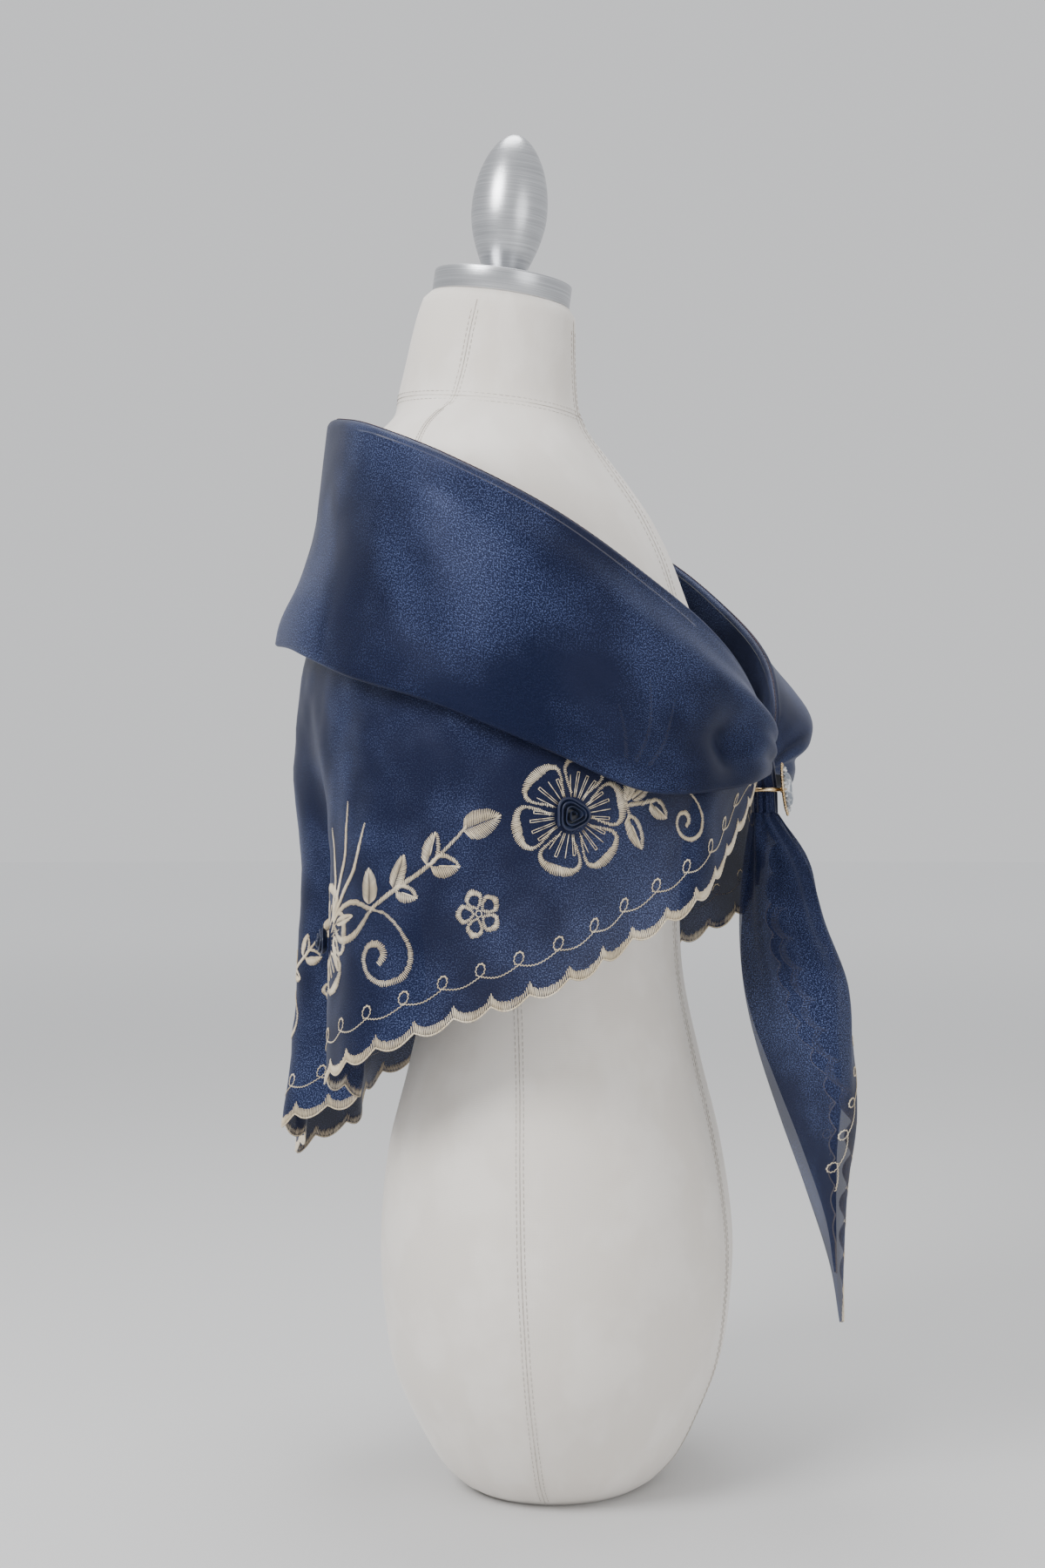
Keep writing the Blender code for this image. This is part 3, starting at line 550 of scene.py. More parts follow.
# %% The line of the shawl
CLOTH, SEAM_GAP, FORM_GAP = 0.0012, 0.0003, 0.0012
SCALLOP_DEPTH, HEM_BAND = 0.0065, 0.012
HEM_SCALLOPS, TAIL_SCALLOPS = 25, 16
EDGE_ROLL, GATHER_WAVES, PANEL_GATHER, COLLAR_GATHER = 0.0035, 3, 0.0016, 0.0014
SHAWL_MIDDLE_Y, NEARBY = 0.02, 0.01
WRAP = Table(
    "along fold_x fold_y fold_z edge_x edge_y edge_z hem_x hem_y hem_z crest turn belly swell",
    [
        (0.00, 0.000, 0.155, 0.759, 0.000, 0.196, 0.603, 0.000, 0.192, 0.227, 0.0070, 0.034, 0.022, -0.004),
        (0.12, 0.062, 0.149, 0.757, 0.078, 0.187, 0.598, 0.078, 0.178, 0.258, 0.0070, 0.034, 0.020, -0.005),
        (0.23, 0.114, 0.127, 0.750, 0.144, 0.153, 0.591, 0.142, 0.146, 0.290, 0.0065, 0.032, 0.014, -0.003),
        (0.34, 0.160, 0.090, 0.738, 0.192, 0.099, 0.571, 0.190, 0.094, 0.316, 0.0055, 0.028, 0.007, 0.003),
        (0.45, 0.186, 0.030, 0.713, 0.213, 0.030, 0.551, 0.210, 0.032, 0.343, 0.0048, 0.024, 0.005, 0.009),
        (0.57, 0.179, -0.038, 0.677, 0.206, -0.044, 0.521, 0.204, -0.036, 0.366, 0.0042, 0.020, 0.004, 0.011),
        (0.69, 0.145, -0.091, 0.637, 0.172, -0.102, 0.495, 0.170, -0.092, 0.397, 0.0040, 0.016, 0.004, 0.010),
        (0.82, 0.094, -0.132, 0.596, 0.108, -0.148, 0.497, 0.110, -0.128, 0.433, 0.0036, 0.012, 0.003, 0.010),
        (0.92, 0.046, -0.149, 0.556, 0.050, -0.160, 0.505, 0.054, -0.141, 0.472, 0.0030, 0.008, 0.002, 0.008),
        (1.00, 0.0180, -0.149, 0.520, 0.0185, -0.153, 0.506, 0.0185, -0.1455, 0.500, 0.0016, 0.003, 0.000, 0.000),
    ],
)
Guide = namedtuple("Guide", "fold edge hem out crest turn belly swell place")


def form_share(point):
    """How far out a point lies from the form's middle: 1 is on its surface."""
    section = TORSO.at(point.z)
    y = point.y - section.centre_y
    if y < 0:
        y = min(y + bust_swell(point.x, point.z), 0.0)
    depth = section.front if y < 0 else section.back
    power = section.squareness
    across, along = abs(point.x) / section.half_width, abs(y) / depth
    return (across**power + along**power) ** (1 / power)


def clear_of_form(point, gap, reach=0.0):
    """Moves a point out level until it lies the gap from the form."""
    middle = Vector((0.0, TORSO.at(point.z).centre_y, point.z))
    away = point - middle
    share = min(form_share(point + UP * lift) for lift in (-reach, 0.0, reach))
    wanted = 1.0 + gap / max(away.length / max(share, 0.1), 0.02)
    return point if share >= wanted else middle + away * (wanted / share)


def wrap_line(place, name):
    side = -1.0 if place <= 0 else 1.0
    row = WRAP.at(abs(place))
    x, y, z = (getattr(row, f"{name}_{axis}") for axis in "xyz")
    return Vector((side * x, y, z))


def outward(place):
    """Level direction square to the wrap, pointing away from the form."""
    after, before = min(place + NEARBY, 1.0), max(place - NEARBY, -1.0)
    along = wrap_line(after, "edge") - wrap_line(before, "edge")
    out = Vector((along.y, -along.x, 0.0)).normalized()
    away = wrap_line(place, "edge") - Vector((0.0, SHAWL_MIDDLE_Y, 0.0))
    return out if out.dot(away) > 0 else -out


def guide(place):
    row = WRAP.at(abs(place))
    out = outward(place)
    fold = wrap_line(place, "fold")
    inner = fold - out * row.crest - UP * row.crest
    fold = fold + (clear_of_form(inner, CLOTH / 2 + FORM_GAP) - inner)
    return Guide(
        fold, wrap_line(place, "edge"), wrap_line(place, "hem"),
        out, row.crest, row.turn, row.belly, row.swell, place,
    )

print("shawl's line", len(WRAP.rows), "rows")

# %% [markdown]
# Organza is woven from fine bright thread, crisp and half see-through. Two
# layers look darker than one, and where light grazes it the thread glitters in
# grainy patches. The finish is a thin wall with some alpha and a faint blue
# sheen at its edges. The glitter is painted into its colour: broad soft patches
# of lighter and darker navy are painted sheen, and a bright speckle that shows
# most inside them is painted glint. The tails are single layers and let the
# most through. The collar hangs over more dark cloth, so it may show some of
# it; the panel, against the cream form, is nearly closed.

# %% Organza
def organza_finish(name, cover):
    """Dark blue organza; cover is the share it hides of what lies behind it."""
    made, tree, shader = new_material(
        name, Alpha=cover, Roughness=0.43,
        Specular_IOR_Level=0.25, Specular_Tint=(0.46, 0.52, 0.86, 1.0),
        Sheen_Weight=0.08, Sheen_Roughness=0.40, Sheen_Tint=(0.42, 0.48, 0.80, 1.0),
    )
    spot = add_node(tree, "ShaderNodeTexCoord").outputs["UV"]
    marks = use_group(tree, mottle_group, {"Place": spot, "Broad": 8.5, "Fine": 1120.0})
    weave = use_group(tree, weave_group, {"Place": spot, "Threads": 420.0})
    # Broad patches step the navy lighter and darker: painted sheen. A bright speckle inside them is mixed in:
    # painted glint.
    navy_and_painted_sheen = colour_steps(
        tree, marks["Patches"], [(0.0, (0.0032, 0.0054, 0.0215)), (1.0, (0.0058, 0.0094, 0.0340))]
    )
    painted_glint_share = add_node(
        tree, "ShaderNodeMapRange", {"Value": marks["Patches"], "To Min": 0.08, "To Max": 0.90}
    ).outputs["Result"]
    painted_glint_where = add_node(
        tree, "ShaderNodeMath", {0: marks["Speckle"], 1: painted_glint_share}, operation="MULTIPLY"
    ).outputs[0]
    painted_glint = add_node(tree, "ShaderNodeMix", data_type="RGBA")
    tree.links.new(painted_glint_where, painted_glint.inputs["Factor"])
    tree.links.new(navy_and_painted_sheen, painted_glint.inputs["A"])
    painted_glint.inputs["B"].default_value = (0.104, 0.137, 0.268, 1.0)
    tree.links.new(painted_glint.outputs["Result"], shader.inputs["Base Color"])
    relief(tree, shader, weave["Height"], 0.12, 0.0003)
    return made


organza = organza_finish("organza", 0.965)
organza_over_dark = organza_finish("organza over dark cloth", 0.89)
organza_single = organza_finish("organza, one layer", 0.86)

# %% [markdown]
# The panel hangs from the fold and widens into a few soft folds of uneven
# depth, deepest behind the wearer's right arm where the cloth turns back on
# itself. Light crumples of a millimetre or two keep it from looking ironed.
# The same function places the cloth and, later, every stitch that lies on it.

# %% Panel
Fold = namedtuple("Fold", "place spread depth top lean")
PANEL_FOLDS = [
    Fold(-0.790, 0.040, 0.004, 0.50, -0.03),
    Fold(-0.690, 0.040, -0.007, 0.50, -0.02),
    Fold(-0.590, 0.045, 0.006, 0.45, 0.01),
    Fold(-0.470, 0.050, -0.008, 0.50, 0.02),
    Fold(-0.360, 0.055, 0.008, 0.40, 0.02),
    Fold(-0.208, 0.046, -0.046, 0.28, 0.02),
    Fold(-0.130, 0.040, 0.008, 0.35, 0.01),
    Fold(-0.075, 0.030, -0.008, 0.55, 0.00),
    Fold(0.000, 0.040, 0.012, 0.40, 0.00),
    Fold(0.075, 0.032, -0.013, 0.45, 0.00),
    Fold(0.165, 0.040, 0.009, 0.35, -0.01),
    Fold(0.235, 0.038, -0.020, 0.40, -0.01),
    Fold(0.325, 0.050, 0.009, 0.45, -0.02),
    Fold(0.410, 0.045, -0.012, 0.50, -0.02),
    Fold(0.510, 0.050, 0.006, 0.45, 0.02),
    Fold(0.610, 0.045, -0.008, 0.50, 0.02),
    Fold(0.710, 0.045, 0.006, 0.45, 0.03),
]
PANEL_BOW_DOWN, PANEL_BOW_SPREAD = 0.42, 0.20
PANEL_CRUMPLE = (0.045, 0.0023)
ROW_REACH = 0.010
SCALLOP_STEPS = 10
PANEL_ROWS, PANEL_BAND_ROWS = 60, 6


def crumple(point, size, depth):
    """Soft dents: two sizes of smooth noise, the same at each run."""
    broad = noise.noise(point * (1.0 / size))
    small = noise.noise(point * (2.3 / size) + Vector((7.0, 3.0, 5.0)))
    return depth * (broad + 0.45 * small)


def hanging_folds(place, down):
    total = 0.0
    for fold in PANEL_FOLDS:
        middle = fold.place + fold.lean * (1 - down)
        near = bell((place - middle) / fold.spread)
        total += fold.depth * near * smooth_step(fold.top, 1.0, down)
    return total * (1 - smooth_step(0.80, 0.97, abs(place)))


def gathers(place, down, height):
    drawn = smooth_step(0.72, 0.96, abs(place)) * math.sin(math.pi * min(down, 1.0))
    return height * drawn * math.cos(2 * math.pi * GATHER_WAVES * down)


def panel_point(spot, down):
    """down runs from 0 under the fold to 1 at the hem's notches."""
    top = spot.fold - spot.out * spot.crest - UP * (spot.crest + CLOTH / 2 + SEAM_GAP)
    bent = spot.belly * bell((down - PANEL_BOW_DOWN) / PANEL_BOW_SPREAD)
    bent += hanging_folds(spot.place, down) + gathers(spot.place, down, PANEL_GATHER)
    level = top.lerp(spot.hem, down)
    soft = smooth_step(0.0, 0.25, down) * (1 - smooth_step(0.86, 0.98, abs(spot.place)))
    bent += crumple(level, *PANEL_CRUMPLE) * soft
    return clear_of_form(level + spot.out * bent, CLOTH / 2 + FORM_GAP, ROW_REACH)


def even_places(line_at, first, last, count, samples=400):
    """count + 1 places evenly spaced along the line that line_at draws."""
    places = np.linspace(first, last, samples + 1)
    lengths = lengths_along(np.array([line_at(place) for place in places]))
    wanted = np.linspace(0.0, lengths[-1], count + 1)
    return list(np.interp(wanted, lengths, places)), float(lengths[-1])


def scallop(phase):
    part = phase % 1.0
    return SCALLOP_DEPTH * (1 - (2 * part - 1) ** 2)


class LaidCloth:
    """A finished sheet as a table of points, so that thread can be laid on it."""

    def __init__(self, columns, rows, point_at):
        self.points = np.array(
            [[point_at(i / columns, j / rows) for j in range(rows + 1)] for i in range(columns + 1)]
        )
        along = np.gradient(self.points, axis=0)
        down = np.gradient(self.points, axis=1)
        out = np.cross(along, down)
        self.normals = out / np.maximum(np.linalg.norm(out, axis=2, keepdims=True), 1e-12)

    def mixed(self, table, column, row):
        column = min(max(column, 0.0), table.shape[0] - 1.001)
        row = min(max(row, 0.0), table.shape[1] - 1.001)
        i, j = int(column), int(row)
        f, g = column - i, row - j
        near = table[i, j] * (1 - g) + table[i, j + 1] * g
        far = table[i + 1, j] * (1 - g) + table[i + 1, j + 1] * g
        return near * (1 - f) + far * f

    def point(self, column, row):
        return Vector(self.mixed(self.points, column, row))

    def normal(self, column, row):
        return Vector(self.mixed(self.normals, column, row)).normalized()


panel_columns = 2 * HEM_SCALLOPS * SCALLOP_STEPS
panel_places, hem_length = even_places(
    lambda place: panel_point(guide(place), 1.0), -1.0, 1.0, panel_columns
)
panel_guides = [guide(place) for place in panel_places]


def panel_at(a, b):
    """The panel by shares: a along the hem from clip to clip, b down it."""
    column = round(a * panel_columns)
    spot = panel_guides[column]
    drop = (spot.fold - spot.hem).length
    band = min(HEM_BAND / drop, 0.15)
    row = b * PANEL_ROWS
    inner_rows = PANEL_ROWS - PANEL_BAND_ROWS
    if row <= inner_rows:
        return panel_point(spot, (1 - band) * row / inner_rows)
    fade = 1 - smooth_step(0.97, 1.0, abs(spot.place))
    grown = fade * scallop(column / SCALLOP_STEPS) / drop
    return panel_point(spot, 1 - band + (band + grown) * (row - inner_rows) / PANEL_BAND_ROWS)


def from_axis(point):
    return Vector((point.x, point.y - SHAWL_MIDDLE_Y, 0.0))


panel_cloth = LaidCloth(panel_columns, PANEL_ROWS, panel_at)
panel_shape = shaped_grid(
    panel_columns, PANEL_ROWS,
    lambda a, b: panel_cloth.points[round(a * panel_columns), round(b * PANEL_ROWS)],
    lambda a, b: ((a - 0.5) * hem_length, panel_at(a, b).z),
)
facing(panel_shape, from_axis)
panel = add_piece(panel_shape, "shawl_panel_cloth", organza, ["shawl_panel"])
print("hem", round(hem_length, 3), "m")

# %% [markdown]
# The collar is the long side of the triangle, turned down outside the panel.
# Its section runs over the fold, down the outside, round a soft lower edge and
# a little way back up inside. Long low ridges run round it and draw together
# at the clip, with a soft hollow just behind it on either side.

# %% Collar
Ridge = namedtuple("Ridge", "start end drop_start drop_end spread height")
COLLAR_RIDGES = [
    Ridge(-0.98, -0.40, 0.42, 0.12, 0.13, 0.0065),
    Ridge(-0.98, -0.55, 0.78, 0.55, 0.11, -0.0050),
    Ridge(-0.50, -0.08, 0.70, 0.45, 0.20, -0.0050),
    Ridge(-0.30, 0.25, 0.88, 0.92, 0.14, 0.0060),
    Ridge(0.08, 0.50, 0.35, 0.60, 0.20, -0.0050),
    Ridge(0.40, 0.99, 0.20, 0.50, 0.22, 0.0170),
    Ridge(0.60, 0.98, 0.60, 0.80, 0.11, -0.0045),
]
Hollow = namedtuple("Hollow", "place drop spread_place spread_drop depth")
COLLAR_HOLLOWS = [
    Hollow(-0.822, 0.72, 0.036, 0.20, 0.0150),
    Hollow(0.805, 0.66, 0.042, 0.18, 0.0110),
]
COLLAR_CRUMPLE = (0.075, 0.0022)
COLLAR_CUT = (1.25, 0.24)
COLLAR_COLUMNS = 320
FOLD_ROWS, DROP_ROWS, ROLL_ROWS, TURN_ROWS = 10, 34, 5, 6
COLLAR_ROWS = FOLD_ROWS + DROP_ROWS + ROLL_ROWS + TURN_ROWS


def collar_relief(place, drop):
    total = 0.0
    for ridge in COLLAR_RIDGES:
        share = (place - ridge.start) / (ridge.end - ridge.start)
        if 0 < share < 1:
            middle = ridge.drop_start + share * (ridge.drop_end - ridge.drop_start)
            fade = math.sin(math.pi * share) ** 0.7
            total += ridge.height * bell((drop - middle) / ridge.spread) * fade
    for hollow in COLLAR_HOLLOWS:
        near = bell((place - hollow.place) / hollow.spread_place)
        total -= hollow.depth * near * bell((drop - hollow.drop) / hollow.spread_drop)
    return total * (1 - smooth_step(0.90, 1.0, abs(place))) + gathers(place, drop, COLLAR_GATHER)


def collar_section(spot):
    centre = spot.fold - UP * spot.crest
    points = []
    for step in range(FOLD_ROWS + 1):
        turn = math.pi * (1 - step / FOLD_ROWS)
        points.append(centre + (spot.out * math.cos(turn) + UP * math.sin(turn)) * spot.crest)
    start = points[-1]
    soft = 1 - smooth_step(0.88, 0.99, abs(spot.place))
    for step in range(1, DROP_ROWS + 1):
        drop = step / DROP_ROWS
        swell = spot.swell * math.sin(math.pi * drop)
        raised = collar_relief(spot.place, drop) * smooth_step(0.0, 0.15, drop)
        level = start.lerp(spot.edge, drop)
        raised += crumple(level, *COLLAR_CRUMPLE) * soft * smooth_step(0.0, 0.2, drop)
        points.append(level + spot.out * (swell + raised))
    bottom = points[-1]
    roll = min(EDGE_ROLL, spot.crest)
    for step in range(1, ROLL_ROWS + 1):
        turn = math.pi * step / ROLL_ROWS
        points.append(
            bottom - spot.out * 0.8 * roll * (1 - math.cos(turn)) - UP * 0.6 * roll * math.sin(turn)
        )
    inside, upward = points[-1], (start - bottom).normalized()
    for step in range(1, TURN_ROWS + 1):
        points.append(inside + upward * spot.turn * step / TURN_ROWS)
    return points


collar_sections = [
    collar_section(guide(-1 + 2 * i / COLLAR_COLUMNS)) for i in range(COLLAR_COLUMNS + 1)
]


def collar_at(a, b):
    return collar_sections[round(a * COLLAR_COLUMNS)][round(b * COLLAR_ROWS)]


collar_shape = shaped_grid(
    COLLAR_COLUMNS, COLLAR_ROWS, collar_at,
    lambda a, b: ((a - 0.5) * COLLAR_CUT[0], b * COLLAR_CUT[1] + 2.0),
)
facing(collar_shape, from_axis)
collar = add_piece(
    collar_shape, "shawl_collar_cloth", organza_over_dark, ["shawl_collar"]
)

# %% [markdown]
# Below the clip each corner of the triangle rolls loosely into a tail: a cone
# that is pleated where it leaves the ring, opens, and closes again towards its
# point. The scalloped edge ends up inside the roll, and comes to the front
# near the tip.

# %% Tails
TAIL = Table(
    "down height edge_x edge_y roll_x roll_y width flat",
    [
        (0.00, 0.4780, 0.0080, -0.1410, 0.0045, -0.1570, 0.62, 0.60),
        (0.10, 0.444, 0.0190, -0.1386, 0.0090, -0.1800, 0.74, 0.52),
        (0.22, 0.402, 0.0320, -0.1385, 0.0150, -0.1945, 0.76, 0.55),
        (0.35, 0.358, 0.0440, -0.1448, 0.0220, -0.2150, 0.74, 0.58),
        (0.48, 0.313, 0.0540, -0.1558, 0.0300, -0.2210, 0.68, 0.60),
        (0.61, 0.269, 0.0610, -0.1699, 0.0380, -0.2225, 0.58, 0.60),
        (0.74, 0.224, 0.0650, -0.1864, 0.0480, -0.2155, 0.52, 0.60),
        (0.89, 0.173, 0.0670, -0.2035, 0.0580, -0.2122, 0.50, 0.60),
        (1.00, 0.135, 0.0660, -0.2100, 0.0630, -0.2122, 0.50, 0.60),
    ],
)
TAIL_PLEATS, TAIL_RIPPLE = 5, 0.11
LEFT_TAIL_SHIFT = Vector((-0.016, 0.019, 0.010))
TAIL_ROWS, TAIL_INNER = 44, 0.9


def tail_point(side, down, round_share):
    """round_share runs from 0 at the plain edge to 1 at the scalloped edge."""
    row = TAIL.at(down)
    plain = Vector((row.edge_x, row.edge_y, 0.0))
    roll = Vector((row.roll_x, row.roll_y, 0.0))
    middle, long_half = (plain + roll) / 2, (plain - roll) / 2
    across = Vector((-long_half.y, long_half.x, 0.0))
    if across.x < 0:
        across = -across
    turn = 2 * math.pi * row.width * round_share
    pleat = math.cos(2 * math.pi * TAIL_PLEATS * round_share)
    wave = math.sin(3 * turn + 5 * down) * smooth_step(0.1, 0.5, down) * (1 - 0.5 * down)
    ripple = TAIL_RIPPLE * (pleat * (1 - smooth_step(0.0, 0.60, down)) + wave)
    shrink = 1 - 0.16 * round_share + ripple
    point = middle + (long_half * math.cos(turn) + across * row.flat * math.sin(turn)) * shrink
    point.z = row.height
    if side > 0:
        point += LEFT_TAIL_SHIFT * smooth_step(0.0, 0.5, down)
    else:
        point.x = -point.x
    return point


def tail_breadth(side, down):
    steps = [tail_point(side, down, k / 12) for k in range(13)]
    return sum((b - a).length for a, b in zip(steps, steps[1:]))


tail_columns = TAIL_SCALLOPS * SCALLOP_STEPS
tail_cloths = {}
for side, which in ((-1, "right"), (1, "left")):
    places, edge_length = even_places(
        lambda down: tail_point(side, down, 1.0), 0.0, 1.0, tail_columns, 200
    )

    def tail_at(a, b):
        column = round(a * tail_columns)
        down = places[column]
        breadth = tail_breadth(side, down)
        band = min(HEM_BAND / breadth, 0.25)
        if b <= TAIL_INNER:
            return tail_point(side, down, (1 - band) * b / TAIL_INNER)
        fade = 1 - smooth_step(0.90, 1.0, down)
        grown = scallop(column / SCALLOP_STEPS) / max(breadth, 0.03) * fade
        beyond = (b - TAIL_INNER) / (1 - TAIL_INNER)
        return tail_point(side, down, 1 - band + (band + grown) * beyond)

    cloth = LaidCloth(tail_columns, TAIL_ROWS, tail_at)
    cloth.edge_length = edge_length
    tail_cloths[which] = cloth
    tail_shape = shaped_grid(
        tail_columns, TAIL_ROWS,
        lambda a, b: cloth.points[round(a * tail_columns), round(b * TAIL_ROWS)],
        lambda a, b: (a * edge_length + 4.0 + side, b * 0.15),
    )
    facing(tail_shape, lambda point: Vector((float(side), -0.3, 0.0)))
    cloth.piece = add_piece(
        tail_shape, f"tail_{which}_cloth", organza_single, [f"shawl_tail_{which}"]
    )
    print("tail", which, "edge", round(edge_length, 3), "m")

# %% [markdown]
# Inside the ring the two corners are pressed into one small bundle. It is a
# pleated tube, and only its folds show above and below the ring.

# %% Gathered cloth in the ring
CLIP_Y, RING_Z = -0.149, 0.494
GATHER = Table(
    "height half_width half_depth",
    [
        (0.4770, 0.0100, 0.0082),
        (0.4860, 0.0098, 0.0080),
        (RING_Z, 0.0098, 0.0078),
        (0.5010, 0.0125, 0.0070),
        (0.5110, 0.0165, 0.0060),
        (0.5200, 0.0160, 0.0040),
    ],
)
BUNDLE_PLEATS = 9


def bundle_point(a, b):
    low, high = GATHER.rows[0].height, GATHER.rows[-1].height
    height = low + (high - low) * b
    row = GATHER.at(height)
    turn = 2 * math.pi * a
    pleat = 1 + 0.07 * math.cos(BUNDLE_PLEATS * turn + 2.5 * b)
    x = row.half_width * math.cos(turn) * pleat
    y = row.half_depth * math.sin(turn) * pleat
    return Vector((x, CLIP_Y + y, height))


bundle = shaped_grid(108, 24, bundle_point, lambda a, b: (a * 0.06 + 7.0, b * 0.04))
close_up(bundle)
add_piece(bundle, "gathered_bundle", organza, ["shawl_gather"])

# %% [markdown]
# The embroidery is satin stitch: hundreds of short bright threads laid side by
# side. A drawn texture would stay flat, so each stitch is a small plump
# spindle of its own, few-sided because there are thousands. It lies through
# the cloth, so that it shows on both faces, as real stitches on organza do.

# %% One stitch, and the thread
thread, tree, shader, spot, marks = marked_finish(
    "thread", mottle_group, {"Broad": 45.0, "Fine": 700.0},
    [(0.0, (0.660, 0.560, 0.395)), (1.0, (0.800, 0.715, 0.560))], rough=(0.36, 0.52),
    Specular_IOR_Level=0.60, Sheen_Weight=0.30, Sheen_Roughness=0.30,
)
champagne = shader.inputs["Base Color"].links[0].from_socket
darkened = add_node(tree, "ShaderNodeMix", data_type="RGBA", blend_type="MULTIPLY")
tree.links.new(grey_steps(tree, marks["Speckle"], 1.4, 0.2), darkened.inputs["Factor"])
tree.links.new(champagne, darkened.inputs["A"])
darkened.inputs["B"].default_value = (0.93, 0.90, 0.86, 1.0)
tree.links.new(darkened.outputs["Result"], shader.inputs["Base Color"])

STITCH_SIDES = 5
one_stitch = bmesh.new()
bmesh.ops.create_cone(
    one_stitch, cap_ends=True, segments=STITCH_SIDES, radius1=0.30, radius2=0.30, depth=1.0
)
middle_cut = bmesh.ops.bisect_plane(
    one_stitch, geom=one_stitch.verts[:] + one_stitch.edges[:] + one_stitch.faces[:],
    plane_co=(0, 0, 0), plane_no=(0, 0, 1),
)
waist = [v for v in middle_cut["geom_cut"] if isinstance(v, bmesh.types.BMVert)]
bmesh.ops.scale(one_stitch, vec=(1.6, 1.6, 1.0), verts=waist)
lying = Matrix.Translation((0.5, 0.0, 0.0)) @ Matrix.Rotation(math.pi / 2, 4, "Y")
bmesh.ops.transform(one_stitch, matrix=lying, verts=one_stitch.verts)
stitch_mesh = bpy.data.meshes.new("one stitch")
one_stitch.to_mesh(stitch_mesh)
one_stitch.free()
stitch_corners = np.array([v.co for v in stitch_mesh.vertices])
print("one stitch", len(stitch_mesh.polygons), "faces")

STITCH_LIFT, STITCH_PLUMP = 0.00025, 1.05
Stitch = namedtuple("Stitch", "start end thick")


def sew(name, stitches, lay_at, finish=thread):
    """Lays copies of the stitch on the cloth: lay_at gives a flat place's point and normal."""
    shape = bmesh.new()
    for _ in stitches:
        shape.from_mesh(stitch_mesh)
    starts, ends, ups = [], [], []
    for stitch in stitches:
        start, start_up = lay_at(*stitch.start)
        end, end_up = lay_at(*stitch.end)
        starts.append(start)
        ends.append(end)
        ups.append((start_up + end_up).normalized())
    starts, ends, ups = np.array(starts), np.array(ends), np.array(ups)
    lengths = ends - starts
    asides = np.cross(ups, lengths)
    asides /= np.maximum(np.linalg.norm(asides, axis=1, keepdims=True), 1e-9)
    thick = np.array([stitch.thick for stitch in stitches])[:, None, None]
    places = (
        (starts + ups * STITCH_LIFT)[:, None, :]
        + lengths[:, None, :] * stitch_corners[None, :, 0:1]
        + asides[:, None, :] * stitch_corners[None, :, 1:2] * thick
        + ups[:, None, :] * stitch_corners[None, :, 2:3] * thick * STITCH_PLUMP
    )
    made = add_piece(shape, name, finish)
    made.data.vertices.foreach_set("co", places.ravel())
    made.data.update()
    print(name, len(stitches), "stitches")
    return made

# %% [markdown]
# Motifs are drawn flat, in metres, the way a designer draws on the cut cloth,
# and only then laid on the folds. Four kinds of work make all of them: a satin
# band along a line, a leaf sewn outward from its vein, single straight
# stitches, and a fine zigzag line. A seeded dice keeps the small unevenness of
# hand-guided work the same at each run.

# %% Ways of sewing
dice = random.Random(11)


def through(points, per=14):
    """A smooth line through points (a Catmull-Rom spline)."""
    points = np.array(points, dtype=float)
    ends = np.vstack([2 * points[0] - points[1], points, 2 * points[-1] - points[-2]])
    line = []
    for p0, p1, p2, p3 in zip(ends, ends[1:], ends[2:], ends[3:]):
        for t in np.arange(per) / per:
            line.append(0.5 * (
                2 * p1 + (p2 - p0) * t + (2 * p0 - 5 * p1 + 4 * p2 - p3) * t**2
                + (3 * p1 - p0 - 3 * p2 + p3) * t**3
            ))
    line.append(points[-1])
    return np.array(line)


def stepped(line, pitch):
    """Even steps along a line: the points, the directions and the shares of the way."""
    line = np.asarray(line, dtype=float)
    lengths = lengths_along(line)
    count = max(int(lengths[-1] / pitch), 2)
    wanted = np.linspace(0.0, lengths[-1], count + 1)
    spots = np.column_stack([np.interp(wanted, lengths, line[:, k]) for k in (0, 1)])
    ways = np.gradient(spots, axis=0)
    ways /= np.maximum(np.linalg.norm(ways, axis=1, keepdims=True), 1e-12)
    return spots, ways, np.linspace(0.0, 1.0, count + 1)


SATIN_THICK, STEM_PITCH = 0.00082, 0.00135
LEAF_THICK, VEIN_HALF = 0.00084, 0.00030


def satin(
    line, breadth_at, pitch=0.00120, lean=0.25, inward=1.0, centred=False, ragged=0.00055
):
    """Side-by-side stitches across a band that follows a line, ragged at both ends."""
    made = []
    for spot, way, share in zip(*stepped(line, pitch)):
        breadth = breadth_at(share)
        over = np.array([-way[1], way[0]]) * inward
        slip = way * lean * breadth
        near = spot - over * (0.5 * breadth if centred else 0.0) - slip / 2
        far = near + over * breadth + slip
        near = near - over * dice.uniform(-0.3, 1.0) * ragged
        far = far + over * dice.uniform(-0.3, 1.0) * ragged
        made.append(Stitch(near, far, SATIN_THICK * dice.uniform(0.85, 1.15)))
    return made


def straight(start, end, thick=0.0010, most=0.012):
    """One stitch, or a few end to end where it would be too long."""
    start, end = np.array(start, dtype=float), np.array(end, dtype=float)
    count = max(1, math.ceil(np.linalg.norm(end - start) / most))
    spots = [start + (end - start) * k / count for k in range(count + 1)]
    return [Stitch(a, b, thick) for a, b in zip(spots, spots[1:])]


def zigzag(line, pitch=0.0016, sway=0.0005, thick=0.0008):
    """A fine line of short stitches that swing from side to side."""
    spots, ways, _ = stepped(line, pitch)
    swung = [
        spot + np.array([-way[1], way[0]]) * sway * (1 if k % 2 else -1)
        for k, (spot, way) in enumerate(zip(spots, ways))
    ]
    return [Stitch(a, b, thick) for a, b in zip(swung, swung[1:])]


